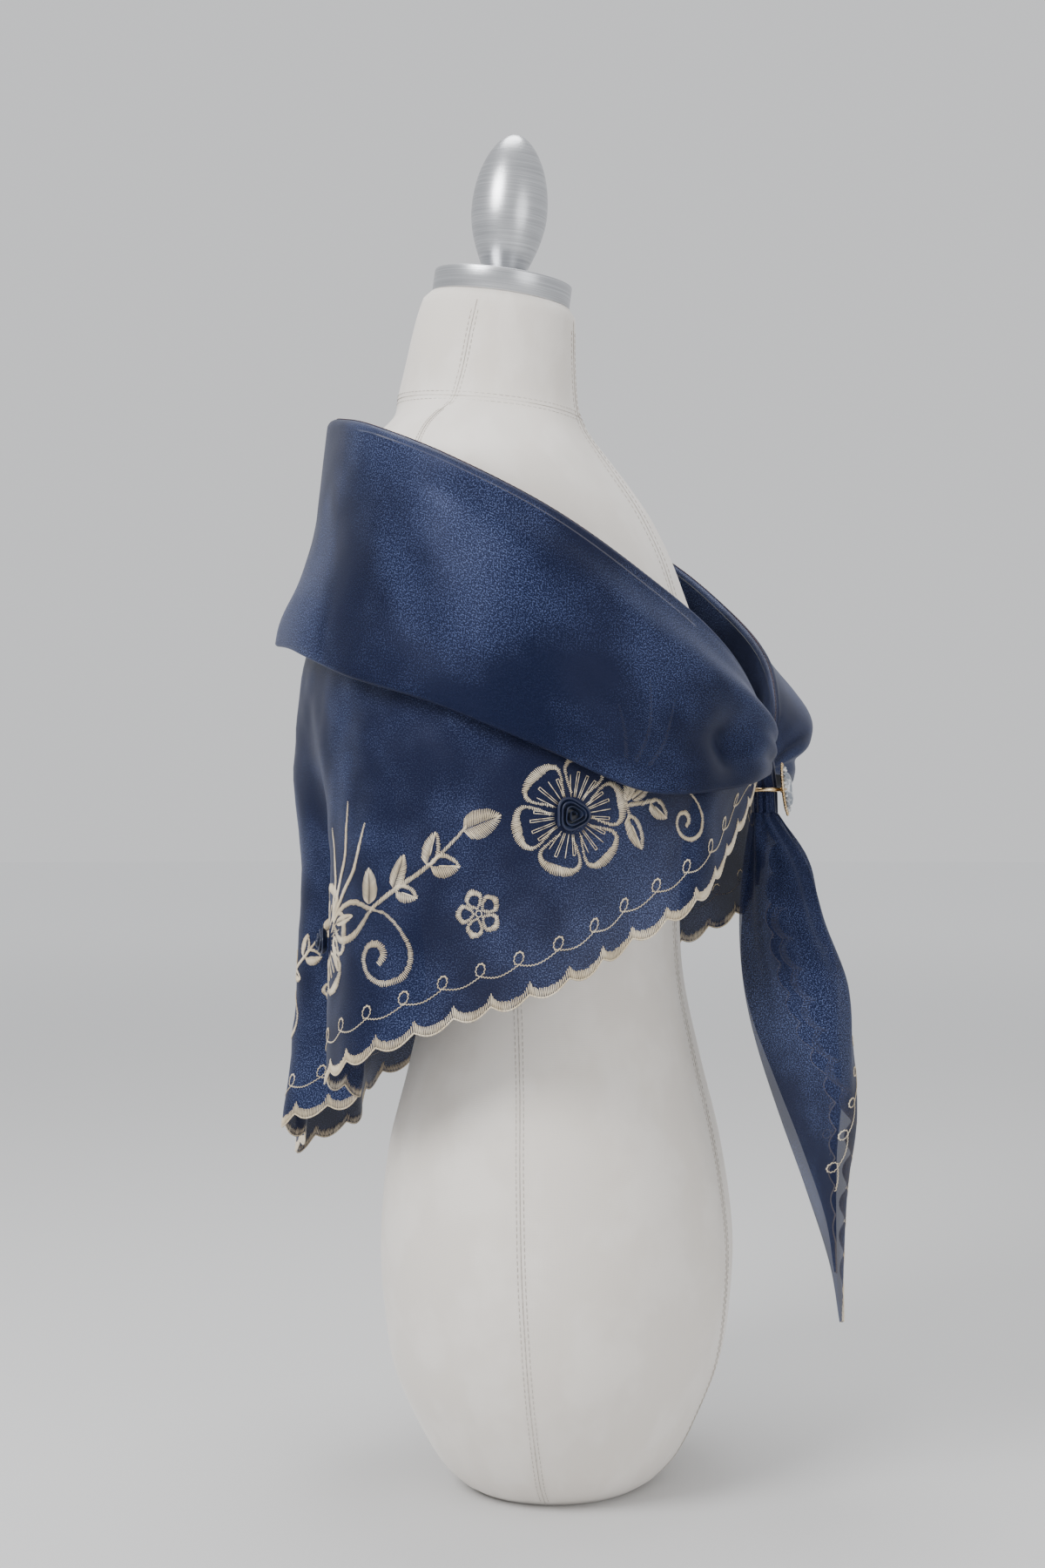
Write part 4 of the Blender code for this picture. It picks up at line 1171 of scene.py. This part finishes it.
def leaf(base, tip, breadth, open_side=0, pitch=0.00112):
    """A leaf of two halves that meet along its vein; open_side is sewn as an outline only."""
    base, tip = np.array(base, dtype=float), np.array(tip, dtype=float)
    length = np.linalg.norm(tip - base)
    way = (tip - base) / length
    over = np.array([-way[1], way[0]])
    made = []
    for half in (-1, 1):
        def edge(share):
            full = math.sin(math.pi * min(share, 1.0) ** 0.80) ** 0.62
            return base + way * length * share + over * half * breadth / 2 * full
        if half == open_side:
            outline = np.array([edge(k / 24) for k in range(25)])
            made += satin(outline, lambda s: 0.0015 + 0.0009 * math.sin(math.pi * s), inward=-half)
            made += straight(base + way * length * 0.3, tip - way * length * 0.1, 0.0010)
            continue
        count = max(int(length / pitch), 4)
        for step in range(count):
            share = (step + 0.5) / count
            start = base + way * length * (share * 0.97) + over * half * VEIN_HALF
            end = edge(min(share + 0.12, 1.0)) + over * half * dice.uniform(-0.0002, 0.0005)
            made.append(Stitch(start, end, LEAF_THICK * dice.uniform(0.85, 1.15)))
    return made


def moved(stitches, place, turn=0.0, size=1.0, flip=1.0):
    """Turns, scales, mirrors and moves flat stitches to their place."""
    c, s = math.cos(turn), math.sin(turn)

    def put(spot):
        u, v = spot[0] * size, spot[1] * size
        return np.array([place[0] + flip * (c * u - s * v), place[1] + s * u + c * v])

    return [Stitch(put(st.start), put(st.end), st.thick) for st in stitches]

# %% [markdown]
# The large flower has six rounded petals about 78 mm across in all. Each is a
# satin outline, thick at the outer end and thin where it runs in beside the
# rose, so that neighbours meet in a notch. Hairpin stitches fan out inside it.
# The small flower is five little loops round a ring.

# %% Flowers
PETALS, PETAL_REACH, PETAL_HALF = 6, 0.0392, 0.0146
PetalCorner = namedtuple("PetalCorner", "out aside")
PETAL_SIDE = [
    PetalCorner(0.34, 0.36), PetalCorner(0.50, 0.68), PetalCorner(0.64, 0.92),
    PetalCorner(0.77, 1.00), PetalCorner(0.89, 0.82), PetalCorner(0.97, 0.45),
]
PETAL_BAND, PETAL_THIN = 0.0062, 0.0012
RAY_START, RAY_END, RAY_ASIDE, RAY_THICK = 0.0120, 0.0290, 0.00085, 0.00066


def petal(reach, turn):
    side = [(corner.out * reach, corner.aside * PETAL_HALF) for corner in PETAL_SIDE]
    outline = through(side + [(reach, 0.0)] + [(u, -v) for u, v in reversed(side)])
    made = satin(
        outline, lambda s: PETAL_THIN + (PETAL_BAND - PETAL_THIN) * bell((s - 0.5) / 0.195),
        inward=-1.0, lean=0.22,
    )
    return moved(made, (0.0, 0.0), turn)


def ray_stitch(near, far, turn):
    """Two fine stitches joined at their outer end like a hairpin, or now and then one."""
    aim = np.array([math.cos(turn), math.sin(turn)])
    if dice.random() < 0.3:
        return straight(aim * near, aim * far, RAY_THICK)
    aside = np.array([-aim[1], aim[0]]) * RAY_ASIDE
    made = straight(aim * near - aside * 0.6, aim * far - aside, 0.00055)
    made += straight(aim * near + aside * 0.6, aim * far + aside, 0.00055)
    return made + straight(aim * far - aside * 1.2, aim * far + aside * 1.2, RAY_THICK)


def big_flower():
    made = []
    for k in range(PETALS):
        turn = 2 * math.pi * (k + 0.25) / PETALS
        made += petal(PETAL_REACH * (1.0 + 0.03 * (k % 2)), turn)
        for ray in (-1.5, -0.5, 0.5, 1.5):
            far = RAY_END - 0.0016 * abs(ray) + dice.uniform(-0.0012, 0.0008)
            made += ray_stitch(RAY_START, far, turn + 0.23 * ray + dice.uniform(-0.02, 0.02))
    return made


def small_flower():
    made = []
    for k in range(5):
        turn = 2 * math.pi * (k + 0.55) / 5
        made += moved(
            satin(
                through([(0.003, 0.0008), (0.007, 0.0048), (0.0120, 0.0058), (0.0162, 0.0),
                         (0.0120, -0.0058), (0.007, -0.0048), (0.003, -0.0008)]),
                lambda s: 0.0014 + 0.0020 * bell((s - 0.5) / 0.24), inward=-1.0,
            ),
            (0.0, 0.0), turn,
        )
    ring = [(0.0022 * math.cos(t), 0.0022 * math.sin(t)) for t in np.linspace(0, 2 * math.pi, 13)]
    return made + zigzag(ring, 0.0012, 0.0001, 0.0009)


print("stitches in a flower", len(big_flower()), "and a small one", len(small_flower()))

# %% [markdown]
# From the front of each flower a spray runs on towards the next: three blades
# of grass, a leaf-shaped loop with a bud in it, a curl, and a branch with pairs
# of leaves that ends in one large leaf. Its points are measured in millimetres
# from the flower's middle, forward and up.

# %% Sprays
MM = 0.001


def mm(*points):
    return [(u * MM, v * MM) for u, v in points]


def blade(*points):
    return satin(
        through(mm(*points)),
        lambda s: 0.0030 * (1 - s) ** 0.5 * smooth_step(0.0, 0.3, s + 0.08) + 0.0006,
        pitch=STEM_PITCH, lean=1.0, centred=True, ragged=0.0004,
    )


def grass():
    made = blade((37, 11), (37, 32), (36, 52), (31, 72))
    made += blade((38, 11), (44, 34), (54, 58), (56, 90))
    made += blade((39, 11), (52, 30), (66, 48), (76, 76))
    return made + leaf(*mm((38, 9), (43, 27)), 0.0068)


def hanging_leaf():
    return satin(through(mm((38, 8), (40, 3), (41, -2))), lambda s: 0.0018, centred=True) + leaf(
        *mm((40, 0), (53, -22)), 0.0115, open_side=1
    )


def curl():
    line = through(mm(
        (84, 20), (97, 17), (108, 7), (115, -7), (112, -21), (100, -27.5), (88, -23.5), (81.5, -13),
        (85, -3.5), (93.5, -2.5), (97.5, -9), (94, -15),
    ))
    return satin(
        line,
        lambda s: 0.0015 + 0.0022 * bell((s - 0.50) / 0.20) + 0.0027 * bell((s - 0.92) / 0.14),
        lean=0.15, centred=True,
    )


def budded_loop():
    over = through(mm((39, 10), (50, 19), (66, 24), (84, 20)))
    under = through(mm((39, 8), (52, -1), (70, 2), (84, 19)))
    made = satin(over, lambda s: 0.0022 + 0.0012 * math.sin(math.pi * s), centred=True)
    made += satin(under, lambda s: 0.0020 + 0.0024 * math.sin(math.pi * s), centred=True)
    return made + leaf(*mm((44, 9), (67, 15)), 0.0062)


def branch():
    stem = through(mm((84, 20), (96, 29), (108, 37), (122, 46), (137, 59), (152, 74)))
    made = satin(
        stem, lambda s: 0.0024 + 0.0006 * math.sin(5 * s),
        pitch=STEM_PITCH, lean=1.0, centred=True, ragged=0.0004,
    )
    made += leaf(*mm((82, 23), (80, 47)), 0.0130)
    made += leaf(*mm((101, 34), (108, 56)), 0.0105)
    made += leaf(*mm((103, 33), (119, 28)), 0.0115, open_side=1)
    made += leaf(*mm((125, 49), (131, 71)), 0.0125, open_side=-1)
    made += leaf(*mm((127, 49), (148, 49)), 0.0155, open_side=1)
    return made + leaf(*mm((150, 72), (175, 82)), 0.0185)


def short_sprig():
    stem = through(mm((40, 7), (50, 8), (60, 10)))
    made = satin(stem, lambda s: 0.0024, pitch=STEM_PITCH, lean=1.0, centred=True)
    made += leaf(*mm((57, 9), (72, -2)), 0.0120, open_side=1)
    return made + leaf(*mm((42, 10), (58, 21)), 0.0070)


def long_spray():
    return grass() + hanging_leaf() + budded_loop() + curl() + branch() + moved(
        small_flower(), (161 * MM, 18.5 * MM)
    )


def short_spray():
    small_curl = moved(curl(), (24 * MM, 3 * MM), 0.0, 0.70)
    return grass() + hanging_leaf() + short_sprig() + small_curl

# %% [markdown]
# To lay the flat drawing on the panel, its across-measure is taken round the
# cloth at flower height, folds and all, and its up-measure is plain height.
# The panel hangs so steeply that this bends a drawing hardly at all.

# %% Sew the panel
ROSE_ROW = round(0.72 * PANEL_ROWS)
flower_line = panel_cloth.points[:, ROSE_ROW, :2]
column_numbers, row_numbers = np.arange(panel_columns + 1), np.arange(PANEL_ROWS + 1)
round_panel = lengths_along(flower_line)
round_panel = round_panel - np.interp(panel_columns / 2, column_numbers, round_panel)
outer = Vector(panel_cloth.normals[panel_columns // 2, ROSE_ROW])
if outer.dot(from_axis(Vector(panel_cloth.points[panel_columns // 2, ROSE_ROW]))) < 0:
    panel_cloth.normals = -panel_cloth.normals


def on_panel(across, height):
    column = float(np.interp(across, round_panel, column_numbers))
    i = min(int(column), panel_columns - 1)
    f = column - i
    heights = panel_cloth.points[i, :, 2] * (1 - f) + panel_cloth.points[i + 1, :, 2] * f
    row = float(np.interp(height, heights[::-1], row_numbers[::-1]))
    return panel_cloth.point(column, row), panel_cloth.normal(column, row)


def flat_place(point):
    """The flat place on the panel nearest to a point in space."""
    away = np.linalg.norm(panel_cloth.points - np.array(point), axis=2)
    column, row = np.unravel_index(int(np.argmin(away)), away.shape)
    return float(round_panel[column]), float(panel_cloth.points[column, row, 2])


rose_places = {}
for which in ("right_front", "right_back", "back", "left_back", "left_front"):
    low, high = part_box(f"rose_{which}")
    rose_places[which] = flat_place((Vector(low) + Vector(high)) / 2)
    print("rose", which, [round(v, 3) for v in rose_places[which]])

# The side-back sprays are placed from where their stems would meet, not from
# the rose, because the flower there turns away round the fold.
SIDE_SPRAY = (0.168, 0.396)
for which, place in rose_places.items():
    flip = -1.0 if "right" in which else 1.0
    work = moved(big_flower(), place, 0.0, 1.0, flip)
    if "front" in which:
        work += moved(short_spray(), place, 0.0, 1.0, flip)
    elif which == "back":
        for flip in (-1.0, 1.0):
            work += moved(long_spray(), place, 0.05, 0.74, flip)
    else:
        work += moved(long_spray(), (flip * SIDE_SPRAY[0], SIDE_SPRAY[1]), 0.0, 1.0, flip)
    sew(f"embroidery_{which}", work, on_panel)

# %% [markdown]
# Satin scallops bind the scalloped edges: a crescent of stitches whose inner
# edge follows the scallop and rises to a small point at each notch, with a
# bright cord on the very edge. A thumb's width higher a fine zigzag line sags
# from one small egg-shaped loop to the next, one loop for every scallop. Both
# are drawn along the edge itself, so the same drawing hems panel and tails.

# %% Scalloped hems
LOOP_RISE, LOOP_WIDE, LOOP_TALL, LOOP_SAG = 0.0215, 0.0034, 0.0080, 0.0038
LINE_PITCH, LINE_SWAY, LINE_THICK = 0.0012, 0.00050, 0.00062
BAND_STITCHES, BAND_SLANT = 24, 0.0006
CORD_RISE, CORD_THICK = 0.0005, 0.00125
FULL_ROOM = 0.055


def along_edge(cloth, edge_length):
    """Lays flat places given as metres along the scalloped edge and metres up from it."""
    rises = np.linalg.norm(np.diff(cloth.points, axis=1), axis=2)[:, ::-1]
    climbs = np.concatenate([np.zeros((len(rises), 1)), np.cumsum(rises, axis=1)], axis=1)
    numbers = np.arange(climbs.shape[1])

    def lay_at(along, up):
        column = min(max(along / edge_length, 0.0), 1.0) * (len(climbs) - 1)
        i = min(int(column), len(climbs) - 2)
        near, far = (np.interp(up, climbs[k], numbers) for k in (i, i + 1))
        row = numbers[-1] - (near * (i + 1 - column) + far * (column - i))
        return cloth.point(column, row), cloth.normal(column, row)

    return lay_at, climbs[:, -1]


def band_breadth(part):
    """Breadth of the crescent, from one notch (0) to the next (1)."""
    cusps = bell(part / 0.08) + bell((part - 1) / 0.08)
    return 0.0052 + 0.0016 * math.sin(math.pi * part) + 0.0028 * cusps


def loop_and_swag(start, pitch, room):
    """One loop, then the line sagging to the next; room lowers both where cloth is short."""
    line = []
    middle = start + 0.30 * pitch
    for turn in np.linspace(-0.35 * math.pi, 1.35 * math.pi, 9):
        rise = LOOP_RISE + LOOP_TALL * (0.5 + 0.5 * math.sin(turn))
        line.append((middle + LOOP_WIDE * math.cos(turn), rise * room))
    for share in (0.25, 0.50, 0.75):
        rise = LOOP_RISE - LOOP_SAG * math.sin(math.pi * share)
        line.append((middle + share * pitch, rise * room))
    return line


def hem_work(cloth, edge_length, scallops, first=0, least=0.030):
    """The stitches of the band and of the loop line, and how to lay them.

    The work starts at the first scallop that shows, and the loop line needs
    at least so much cloth above the edge.
    """
    lay_at, reach = along_edge(cloth, edge_length)
    pitch = edge_length / scallops
    band, line = [], []
    for k in range(first, scallops):
        here = reach[round((k + 0.5) / scallops * (len(reach) - 1))]
        room = min(1.0, here / FULL_ROOM)
        for step in range(BAND_STITCHES):
            part = (step + 0.5) / BAND_STITCHES
            along = (k + part) * pitch
            up = band_breadth(part) * max(room, 0.45) + dice.uniform(-0.0004, 0.0006)
            thick = SATIN_THICK * dice.uniform(0.85, 1.15)
            far = (along + BAND_SLANT, min(up, 0.8 * here))
            band.append(Stitch((along - BAND_SLANT, -0.0002), far, thick))
        for step in range(SCALLOP_STEPS):
            near, far = ((k + (step + end) / SCALLOP_STEPS) * pitch for end in (-0.15, 1.15))
            band.append(Stitch((near, CORD_RISE), (far, CORD_RISE), CORD_THICK))
        if here > least:
            line += loop_and_swag(k * pitch, pitch, room)
    fine_line = []
    for stitch in zigzag(through(line, 5), LINE_PITCH, LINE_SWAY, LINE_THICK):
        high = smooth_step(LOOP_RISE + 0.45 * LOOP_TALL, LOOP_RISE + LOOP_TALL, stitch.start[1])
        start, end = (
            np.array([along, up + scallop(along / pitch)])
            for along, up in (stitch.start, stitch.end)
        )
        fine_line.append(Stitch(start, end, stitch.thick * (1 + 0.8 * high)))
    return band, fine_line, lay_at


band, line, on_edge = hem_work(panel_cloth, hem_length, 2 * HEM_SCALLOPS)
sew("hem_scallop_band", band, on_edge)
sew("hem_loop_line", line, on_edge)
for which, cloth in tail_cloths.items():
    band, line, on_edge = hem_work(cloth, cloth.edge_length, TAIL_SCALLOPS, first=3, least=0.040)
    sew(f"tail_{which}_scallop_band", band, on_edge)
    sew(f"tail_{which}_loop_line", line, on_edge)

# %% [markdown]
# The rose in the middle of each large flower is one length of satin ribbon,
# wound from a tight coil outward. Its turns are slightly three-sided and lean
# further out the wider they get, until the last one lies nearly flat. The
# ribbon is a strip that follows that spiral, over a small disc that closes
# the foot.

# %% Ribbon roses
ribbon = marked_finish(
    "satin ribbon", lines_group, {"Along": (60.0, 2600.0, 1.0), "Fine": 1.0},
    [(0.3, (0.0030, 0.0055, 0.0210)), (0.7, (0.0085, 0.0150, 0.0500))],
    bump=(0.2, 0.0002), space="UV", Roughness=0.34, Specular_IOR_Level=0.40,
    Sheen_Weight=0.15, Sheen_Tint=(0.5, 0.6, 0.9, 1.0),
).material

ROSE_FOOT_RISE, ROSE_TURNS, ROSE_STEPS = 0.0009, 3.6, 150
ROSE_CORE, ROSE_RADIUS, ROSE_SIDED = 0.0012, 0.0100, 0.13
RIBBON_TALL, RIBBON_LOW = 0.0078, 0.0036
RibbonEdge = namedtuple("RibbonEdge", "spread rise")
RIBBON_SECTION = [
    RibbonEdge(0.72, 0.06), RibbonEdge(0.90, 0.42), RibbonEdge(0.98, 0.78), RibbonEdge(1.06, 1.00),
    RibbonEdge(1.16, 0.96), RibbonEdge(1.17, 0.80),
]


def ribbon_point(a, b):
    """a follows the winding from the middle outward, b goes up the ribbon's width."""
    wound = 2 * math.pi * ROSE_TURNS * a
    radius = ROSE_CORE + (ROSE_RADIUS - ROSE_CORE) * a**0.85
    radius *= 1 + ROSE_SIDED * math.cos(3 * wound)
    height = RIBBON_TALL + (RIBBON_LOW - RIBBON_TALL) * smooth_step(0.15, 1.0, a)
    k = b * (len(RIBBON_SECTION) - 1)
    low = min(int(k), len(RIBBON_SECTION) - 2)
    f = k - low
    first, second = RIBBON_SECTION[low], RIBBON_SECTION[low + 1]
    spread = first.spread * (1 - f) + second.spread * f
    rise = (first.rise * (1 - f) + second.rise * f) * (1 + 0.06 * math.sin(2.3 * wound))
    out = radius * (1 + (spread - 1) * (0.5 + 0.8 * a))
    return Vector((out * math.cos(wound), out * math.sin(wound), height * rise))


for which, (across, height) in rose_places.items():
    point, normal = on_panel(across, height)
    side = UP.cross(normal).normalized()
    stand = Matrix.Translation(point + normal * ROSE_FOOT_RISE) @ Matrix(
        (side, normal.cross(side), normal)
    ).transposed().to_4x4()
    rose = shaped_grid(ROSE_STEPS, 10, ribbon_point, lambda a, b: (0.16 * a, 0.008 * b))
    bmesh.ops.create_circle(
        rose, cap_ends=True, segments=24, radius=0.0088, matrix=Matrix.Translation((0, 0, 0.0008))
    )
    bmesh.ops.transform(rose, matrix=stand, verts=rose.verts)
    add_piece(rose, f"ribbon_rose_{which}", ribbon, [f"rose_{which}"])

# %% [markdown]
# The clip is cast metal, plated pale gold. An oval ring holds the cloth; in
# front of it stands a pointed oval setting with a beaded rim and claws, round
# one large faceted stone and a row of small ones. It is built flat, face up,
# and then stood in its place with its lower tip a little forward.

# %% Clip
gold = marked_finish(
    "plated gold", mottle_group, {"Broad": 160.0, "Fine": 900.0},
    [(0.0, (0.62, 0.44, 0.23)), (1.0, (0.80, 0.63, 0.40))], rough=(0.16, 0.34), Metallic=1.0,
).material
# The crystal's colour steps between dark and bright patches: painted reflections of its facets.
crystal = marked_finish(
    "cut crystal", mottle_group, {"Broad": 300.0, "Fine": 1500.0},
    [(0.0, (0.26, 0.30, 0.36)), (1.0, (0.94, 0.96, 0.98))],
    Roughness=0.03, IOR=1.60, Transmission_Weight=0.35, Specular_IOR_Level=0.9,
    Coat_Weight=0.6, Coat_Roughness=0.02,
).material

RING_HALF_WIDTH, RING_HALF_DEPTH, RING_WIRE = 0.0125, 0.0105, 0.0015
PLATE_HEIGHT, PLATE_WIDTH, PLATE_THICK, STONE_DEPTH = 0.036, 0.017, 0.0022, 0.0044
PLATE_TILT, PLATE_SETBACK, MARQUISE_POINT = math.radians(6.5), 0.0001, 1.35
BEADS, BEAD_RADIUS, BEAD_RISE = 38, 0.00105, 0.0016
CLAWS, CLAW_LEAN = 8, 0.5
SMALL_STONES, SMALL_STONE_RADIUS, SMALL_STONE_RISE = 22, 0.0015, 0.0008
clip_place = Matrix.Translation((0.0, CLIP_Y - RING_HALF_DEPTH - RING_WIRE - SEAM_GAP, RING_Z))
clip_lean = Matrix.Rotation(math.pi / 2 - PLATE_TILT, 4, "X")
clip_stand = clip_place @ clip_lean @ Matrix.Translation((0.0, 0.0, -PLATE_SETBACK))


def marquise(share, height, width):
    """A point on a pointed oval: share 0 and 0.5 are its top and bottom tips."""
    turn = 2 * math.pi * share
    across = math.copysign(abs(math.sin(turn)) ** MARQUISE_POINT, math.sin(turn))
    return width / 2 * across, height / 2 * math.cos(turn)


def even_marquise(count, height, width):
    """Points evenly spaced round the pointed oval, from its top tip."""
    shares, _ = even_places(lambda s: np.array(marquise(s, height, width)), 0.0, 1.0, count)
    return [marquise(share, height, width) for share in shares[:-1]]


def stacked(layers, sides, turned=False):
    """A closed solid through marquise rings; turned rings sit half a step round."""
    shape = bmesh.new()
    rings = []
    for number, (height, width, rise) in enumerate(layers):
        slip = 0.5 if turned and number % 2 else 0.0
        rings.append([
            shape.verts.new((*marquise((k + slip) / sides, height, width), rise))
            for k in range(sides)
        ])
    for number, (low, high) in enumerate(zip(rings, rings[1:])):
        for k in range(sides):
            after = (k + 1) % sides
            if not turned:
                shape.faces.new((low[k], low[after], high[after], high[k]))
            elif number % 2 == 0:
                shape.faces.new((low[k], low[after], high[k]))
                shape.faces.new((low[after], high[after], high[k]))
            else:
                shape.faces.new((low[k], high[after], high[k]))
                shape.faces.new((low[k], low[after], high[after]))
    shape.faces.new(rings[0])
    shape.faces.new(rings[-1])
    bmesh.ops.recalc_face_normals(shape, faces=shape.faces)
    return shape


def stood(shape):
    bmesh.ops.transform(shape, matrix=clip_stand, verts=shape.verts)
    return shape


def ring_point(a, b):
    """a goes round the oval, b round the wire."""
    turn, roll = 2 * math.pi * a, 2 * math.pi * b
    wire = RING_WIRE * math.cos(roll)
    x = (RING_HALF_WIDTH + wire) * math.cos(turn)
    y = (RING_HALF_DEPTH + wire) * math.sin(turn)
    return Vector((x, CLIP_Y + y, RING_Z + RING_WIRE * math.sin(roll)))


ring = shaped_grid(96, 16, ring_point)
close_up(ring)
add_piece(ring, "clip_ring_gold", gold, ["clip_ring"])

setting = stacked([
    (PLATE_HEIGHT * 0.84, PLATE_WIDTH * 0.70, 0.0),
    (PLATE_HEIGHT * 0.97, PLATE_WIDTH * 0.96, 0.0007),
    (PLATE_HEIGHT * 1.00, PLATE_WIDTH * 1.00, 0.0014),
    (PLATE_HEIGHT * 0.97, PLATE_WIDTH * 0.94, PLATE_THICK),
], 64)
for x, y in even_marquise(BEADS, PLATE_HEIGHT, PLATE_WIDTH):
    bmesh.ops.create_icosphere(
        setting, subdivisions=1, radius=BEAD_RADIUS, matrix=Matrix.Translation((x, y, BEAD_RISE))
    )
for x, y in even_marquise(CLAWS, PLATE_HEIGHT * 0.74, PLATE_WIDTH * 0.66):
    lean = Vector((x, y, 0.0)).normalized()
    tipped = Matrix.Rotation(CLAW_LEAN, 4, Vector((lean.y, -lean.x, 0.0)))
    bmesh.ops.create_cone(
        setting, cap_ends=True, segments=8, radius1=0.00062, radius2=0.00036, depth=0.0022,
        matrix=Matrix.Translation((x, y, PLATE_THICK + 0.0010)) @ tipped,
    )
bmesh.ops.create_cone(
    setting, cap_ends=True, segments=16, radius1=0.0021, radius2=0.0021, depth=0.0016,
    matrix=Matrix.Translation((0.0, 0.0, -0.0006)),
)
add_piece(stood(setting), "clip_setting", gold, ["clip_plate"])

stone_foot = PLATE_THICK + SEAM_GAP
stone = stacked([
    (PLATE_HEIGHT * 0.70, PLATE_WIDTH * 0.60, stone_foot),
    (PLATE_HEIGHT * 0.72, PLATE_WIDTH * 0.62, stone_foot + 0.30 * STONE_DEPTH),
    (PLATE_HEIGHT * 0.60, PLATE_WIDTH * 0.50, stone_foot + 0.75 * STONE_DEPTH),
    (PLATE_HEIGHT * 0.40, PLATE_WIDTH * 0.30, stone_foot + STONE_DEPTH),
], 10, turned=True)
add_piece(stood(stone), "clip_large_stone", crystal, ["clip_stone"], smooth=False)

small_stones = bmesh.new()
for x, y in even_marquise(SMALL_STONES, PLATE_HEIGHT * 0.83, PLATE_WIDTH * 0.77):
    bmesh.ops.create_icosphere(
        small_stones, subdivisions=1, radius=SMALL_STONE_RADIUS,
        matrix=Matrix.Translation((x, y, PLATE_THICK + SMALL_STONE_RISE)),
    )
add_piece(stood(small_stones), "clip_small_stones", crystal, smooth=False)

# %% [markdown]
# The jersey cover is sewn from panels. Seams run down the sides, the centre
# back and the centre front, and one goes round the foot of the neck; beside
# each, a line of small topstitches holds the seam down. The side seams aren't
# quite upright: they go from the middle of the neck back over the shoulder,
# and forward again to the hips. A thin dark cord lies along the crest of the
# collar, where the cloth turns over the fold: painted shade, a dark line where
# the fold looks dark.

# %% Seams, and painted shade along the collar's crest
SIDE_SEAM = Table("height ahead", [
    (0.0, 0.14), (0.17, 0.11), (0.36, 0.05), (0.60, -0.04),
    (0.745, -0.08), (0.80, -0.02), (0.846, 0.0),
])
SEAM_STITCH, SEAM_THICK, SEAM_END = 0.006, 0.0006, 0.004
TOPSTITCH, TOPSTITCH_GAP, TOPSTITCH_THICK, BESIDE_SEAM = 0.0030, 0.0014, 0.0005, 0.0032
NECK_SEAM, NECK_SEAM_DIP, LEAST_RADIUS = 0.770, 0.007, 0.04
CREST_THICK, CREST_OVERLAP = 0.0008, 0.1

seam_thread = marked_finish(
    "seam thread", mottle_group, {"Broad": 30.0, "Fine": 600.0},
    [(0.0, (0.50, 0.46, 0.41)), (1.0, (0.60, 0.56, 0.51))], Roughness=0.7, Specular_IOR_Level=0.3,
).material


def on_form(turn, height):
    point = form_point(turn, height)
    above, below = min(height + 0.002, FORM_TOP), max(height - 0.002, 0.0)
    across = form_point(turn + NEARBY, height) - form_point(turn - NEARBY, height)
    rise = form_point(turn, above) - form_point(turn, below)
    out = across.cross(rise).normalized()
    return point, out if out.dot(from_axis(point)) > 0 else -out


def seam_and_topstitch(path):
    """A close seam along a path of (turn, height), with spaced stitches to each side."""
    lengths = lengths_along(np.array([form_point(*place) for place in path]))
    whole = lengths[-1]
    made = []

    def at(length):
        return tuple(np.interp(length, lengths, [place[k] for place in path]) for k in (0, 1))

    count = int(whole / SEAM_STITCH)
    for k in range(count):
        made.append(Stitch(at(whole * k / count), at(whole * (k + 1) / count), SEAM_THICK))
    for side in (-1, 1):
        place = SEAM_END
        while place + TOPSTITCH < whole - SEAM_END:
            near, far = at(place), at(place + TOPSTITCH)
            radius = max(math.hypot(*form_point(*near).xy), LEAST_RADIUS)
            upright = abs(far[1] - near[1]) > TOPSTITCH / 3
            slip = (side * BESIDE_SEAM / radius, 0.0) if upright else (0.0, side * BESIDE_SEAM)
            ends = ((turn + slip[0], height + slip[1]) for turn, height in (near, far))
            made.append(Stitch(*ends, TOPSTITCH_THICK))
            place += TOPSTITCH + TOPSTITCH_GAP
    return made


levels = np.linspace(0.004, 0.840, 180)
form_work = []
for side in (-1, 1):
    form_work += seam_and_topstitch(
        [(side * (math.pi / 2 - SIDE_SEAM.at(h).ahead), h) for h in levels]
    )
for turn in (0.0, math.pi):
    form_work += seam_and_topstitch([(turn, h) for h in levels])
form_work += seam_and_topstitch([
    (turn, NECK_SEAM + NECK_SEAM_DIP * math.cos(turn + math.pi))
    for turn in np.linspace(0, 2 * math.pi, 120)
])
sew("form_seams", form_work, on_form, seam_thread)

# A thin dark cord laid along the collar's crest is painted shade of the fold.
crest_painted_shade = marked_finish(
    "painted crest shade", mottle_group, {"Broad": 40.0, "Fine": 900.0},
    [(0.0, (0.020, 0.008, 0.016)), (1.0, (0.060, 0.022, 0.030))], Roughness=0.6,
).material
collar_cloth = LaidCloth(COLLAR_COLUMNS, COLLAR_ROWS, collar_at)
crest_row = FOLD_ROWS / 2
sew(
    "collar_crest_painted_shade",
    [
        Stitch((k, crest_row), (k + 1 + CREST_OVERLAP, crest_row), CREST_THICK)
        for k in range(COLLAR_COLUMNS)
    ],
    lambda column, row: (collar_cloth.point(column, row), collar_cloth.normal(column, row)),
    crest_painted_shade,
)

# %% [markdown]
# The area of each sheet is printed, and the length of the collar's crest. The
# whole shawl is one triangle; the areas here are those of the stretch that each
# piece shows: the triangle below the fold, the strip that is folded over, and
# the two corners.

# %% Flat sizes
for which, cloth in tail_cloths.items():
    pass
for piece in (panel, collar, *(cloth.piece for cloth in tail_cloths.values())):
    area = sum(face.area for face in piece.data.polygons)
    print("cloth area", piece.name, round(area, 4), "m2")
crest_line = np.array([section[FOLD_ROWS // 2] for section in collar_sections])
print("crest", round(float(lengths_along(crest_line)[-1]), 3), "m")
